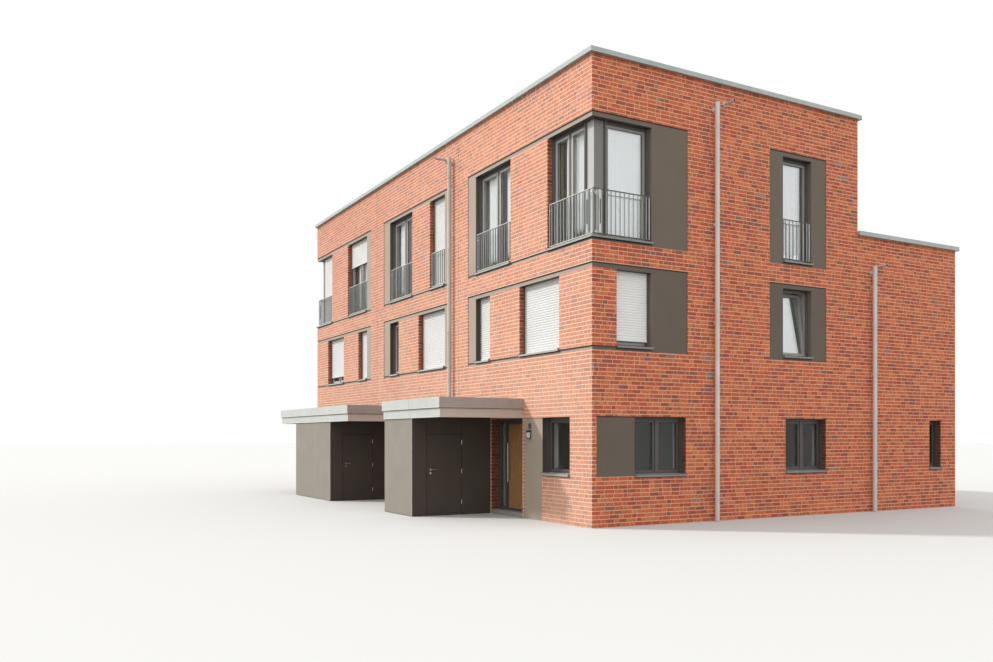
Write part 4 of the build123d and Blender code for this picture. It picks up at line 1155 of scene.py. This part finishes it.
for name, edge, side in (("middle", hinge_edge - house_shift, -1), ("left", -hinge_edge, 1)):
    leaf_rim, leaf_boards, leaf_handle = door_leaf(edge, side, 0.07, 1.036, 0.10, 2.135)
    piece(f"{name}_leaf_rim", leaf_rim, window_profile, "door", "neighbour_doors", edge=0.0015)
    piece(f"{name}_leaf_boards", leaf_boards, oak, "door", edge=0.0015)
    piece(f"{name}_bar_handle", leaf_handle, stainless, "steel", "neighbour_handles")

# Wall lamps: a dark hood over an opal glass on the render panel, and a plain bell plate over each
lamps, opals, plates = shapes(3)
lamp_distance, render_face = 2.34, -0.015
for middle in (half_length - lamp_distance, half_length - lamp_distance - house_shift,
               lamp_distance - half_length):
    place = walls["front"]
    low, high = middle - 0.05, middle + 0.05
    block(lamps, place, (low, high), (render_face, 0.005), (1.76, 1.94))
    length(lamps, place, [(0.003, 1.895), (0.065, 1.895), (0.065, 1.915), (0.045, 1.94), (0.003, 1.94)],
           (low, high))
    block(lamps, place, (low, high), (0.003, 0.060), (1.76, 1.772))
    length(opals, place, [(0.004, 1.772), (0.050, 1.772), (0.056, 1.80), (0.056, 1.87), (0.050, 1.896),
                          (0.004, 1.896)], (low + 0.012, high - 0.012))
    border(plates, place, (middle - 0.065, middle + 0.065), (1.975, 2.095), 0.010, (render_face, -0.003))
    block(plates, place, (low, high), (render_face, -0.009), (1.985, 2.085))
piece("lamp_hoods", lamps, lamp_metal, "lamp", "wall_lamps", edge=0.003)
piece("lamp_glasses", opals, opal, "lamp", edge=0.006)
piece("bell_plates", plates, stainless, "steel", edge=0.002)

# Curtains and blinds behind the top-floor panes, gathered onto a track under each lintel
tracks = bmesh.new()
random.seed(4)


def curtain(name, wall, across, material, folds=0.085, depth=0.020, back_from=0.286,
            levels=(top_sill + 0.24, top_head - 0.028), flare=0.0):
    """A gathered curtain: a fine sheet in soft pleats that open a little towards the hem.

    It hangs some way back from the wall's face; flare is how much wider the hem is than the head.
    """
    place = walls[wall]
    low, high = across
    foot, head = levels
    width = high - low
    waves = round(width / folds)
    columns, rows = max(16, waves * 10), 14
    drift = [random.uniform(-0.5, 0.5) for _ in range(waves + 2)]
    lean = [random.uniform(-0.006, 0.006) for _ in range(waves + 2)]
    shape = bmesh.new()
    grid = []
    for row in range(rows + 1):
        fall = row / rows
        line = []
        for column in range(columns + 1):
            share = column / columns
            spot = share * waves
            index = int(spot)
            part = spot - index
            ease_in = part * part * (3 - 2 * part)
            shift = drift[index] * (1 - ease_in) + drift[index + 1] * ease_in
            swing = lean[index] * (1 - ease_in) + lean[index + 1] * ease_in
            out = depth * (0.75 + 0.25 * fall) * math.sin(2 * math.pi * (spot + 0.18 * shift * (0.4 + fall)))
            along_wall = low + (width + flare * fall) * share + swing * fall
            line.append(shape.verts.new(place(along_wall, out - back_from, head + (foot - head) * fall)))
        grid.append(line)
    for upper, lower in zip(grid, grid[1:]):
        for i in range(columns):
            shape.faces.new((upper[i], upper[i + 1], lower[i + 1], lower[i]))
    made = piece(name, shape, material, "fabric", "curtains")
    cloth = made.modifiers.new("cloth", "SOLIDIFY")
    cloth.thickness = 0.0012
    block(tracks, place, (low, high), (-back_from - 0.010, -back_from + 0.010), (head, head + 0.028))


for name, span, cloth in (("white", (0.44, 1.29), white_cloth), ("brown", (1.44, 1.62), brown_cloth),
                          ("strip", (3.24, 3.77), white_cloth), ("centre", (4.04, 4.64), white_cloth),
                          ("rose", (8.94, 9.44), rose_cloth), ("pale", (9.54, 10.03), white_cloth),
                          ("far", (12.49, 12.91), white_cloth), ("cream", (13.17, 13.45), cream_cloth),
                          ("umber", (13.48, 13.78), umber_cloth)):
    curtain(f"front_curtain_{name}", "front", along(*span), cloth)
for end in ends:
    curtain(f"{end}_corner_curtain", end, back(0.44, 1.46), white_cloth, folds=0.11, depth=0.013)
    curtain(f"{end}_stair_curtain", end, back(5.275, 6.135), green_cloth, folds=0.17, depth=0.010)
    curtain(f"{end}_landing_curtain", end, back(5.20, 6.00), white_cloth, back_from=0.48, levels=(3.45, 5.30),
            flare=0.30)
    # The landing curtain's track has arms to the wall
    for spot in back(5.25, 5.95):
        block(tracks, walls[end], (spot - 0.01, spot + 0.01), (-0.471, -0.420), (5.308, 5.320))
piece("curtain_tracks", tracks, sill_sheet, "fabric")

# Upstands of roofing inside the parapets, over a fillet, lower under the doors onto the rear roof
upstands = bmesh.new()
inner_x, inner_y = half_length - wall_thickness, half_depth - wall_thickness
for path, level, height, looped in (
        ([(-inner_x, -inner_y), (-inner_x, step - wall_thickness), (inner_x, step - wall_thickness),
          (inner_x, -inner_y)], main_roof, 0.40, True),
        ([(-inner_x, step + 0.001), (-inner_x, inner_y), (inner_x, inner_y), (inner_x, step + 0.001)],
         rear_roof, 0.45, False),
        ([(inner_x - 0.10, step), (0.10 - inner_x, step)], rear_roof, 0.09, False)):
    run(upstands, path, [(0.0, level + 0.001), (0.10, level + 0.001), (0.012, level + 0.085),
                         (0.006, level + height), (0.0, level + height)], looped)
piece("roof_upstands", upstands, roofing, "roof_felt")

# Camera, at the photograph's eye point and direction
camera = bpy.data.objects.new("camera", bpy.data.cameras.new("camera"))
bpy.context.collection.objects.link(camera)
camera.location = (22.88, -15.965, 1.80)
camera.rotation_euler = (math.radians(90), 0, math.atan2(0.8715, 0.4903))
camera.data.sensor_width = 36
camera.data.lens = 32.53
camera.data.shift_y = 0.1063
camera.data.clip_end = 400
bpy.context.scene.camera = camera


def seen(tree):
    """One for rays from the camera, also by way of metal and glass, and nothing for the rest."""
    paths = add(tree, "LightPath").outputs
    direct = add(tree, "Math", paths["Is Camera Ray"], paths["Is Glossy Ray"], operation="MAXIMUM")
    return add(tree, "Math", direct, paths["Is Transmission Ray"], operation="MAXIMUM")


# Floor, sun and sky
bpy.ops.mesh.primitive_plane_add(size=400, location=(0, 0, -0.001))
ground_plane = bpy.context.object
ground_plane.name = "ground_plane"
floor, tree, shader = finish("pale_studio_floor", 0.95)
tone = add(tree, "Mix", inputs={0: seen(tree), 6: linear("#7C7A75"), 7: linear("#CDCDCB")}, data_type="RGBA")
tree.links.new(tone.outputs[2], shader.inputs["Base Color"])
ground_plane.data.materials.append(floor)
ground_plane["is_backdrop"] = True

sun = bpy.data.objects.new("sun", bpy.data.lights.new("sun", "SUN"))
bpy.context.collection.objects.link(sun)
sun.data.energy = 2.2
sun.data.angle = math.radians(4)
sun.data.color = (1.0, 0.99, 0.97)
sun.rotation_euler = Vector((0.52, 0.60, -0.62)).to_track_quat("-Z", "Y").to_euler()

world = bpy.data.worlds.new("studio")
bpy.context.scene.world = world
world.use_nodes = True
tree = world.node_tree
background = tree.nodes["Background"]
background.inputs["Color"].default_value = linear("#FFFFFF")
strength = add(tree, "MapRange", seen(tree), 0.0, 1.0, 1.12, 1.0)
tree.links.new(strength.outputs[0], background.inputs["Strength"])

bpy.context.scene.view_settings.view_transform = "Standard"

low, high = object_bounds()
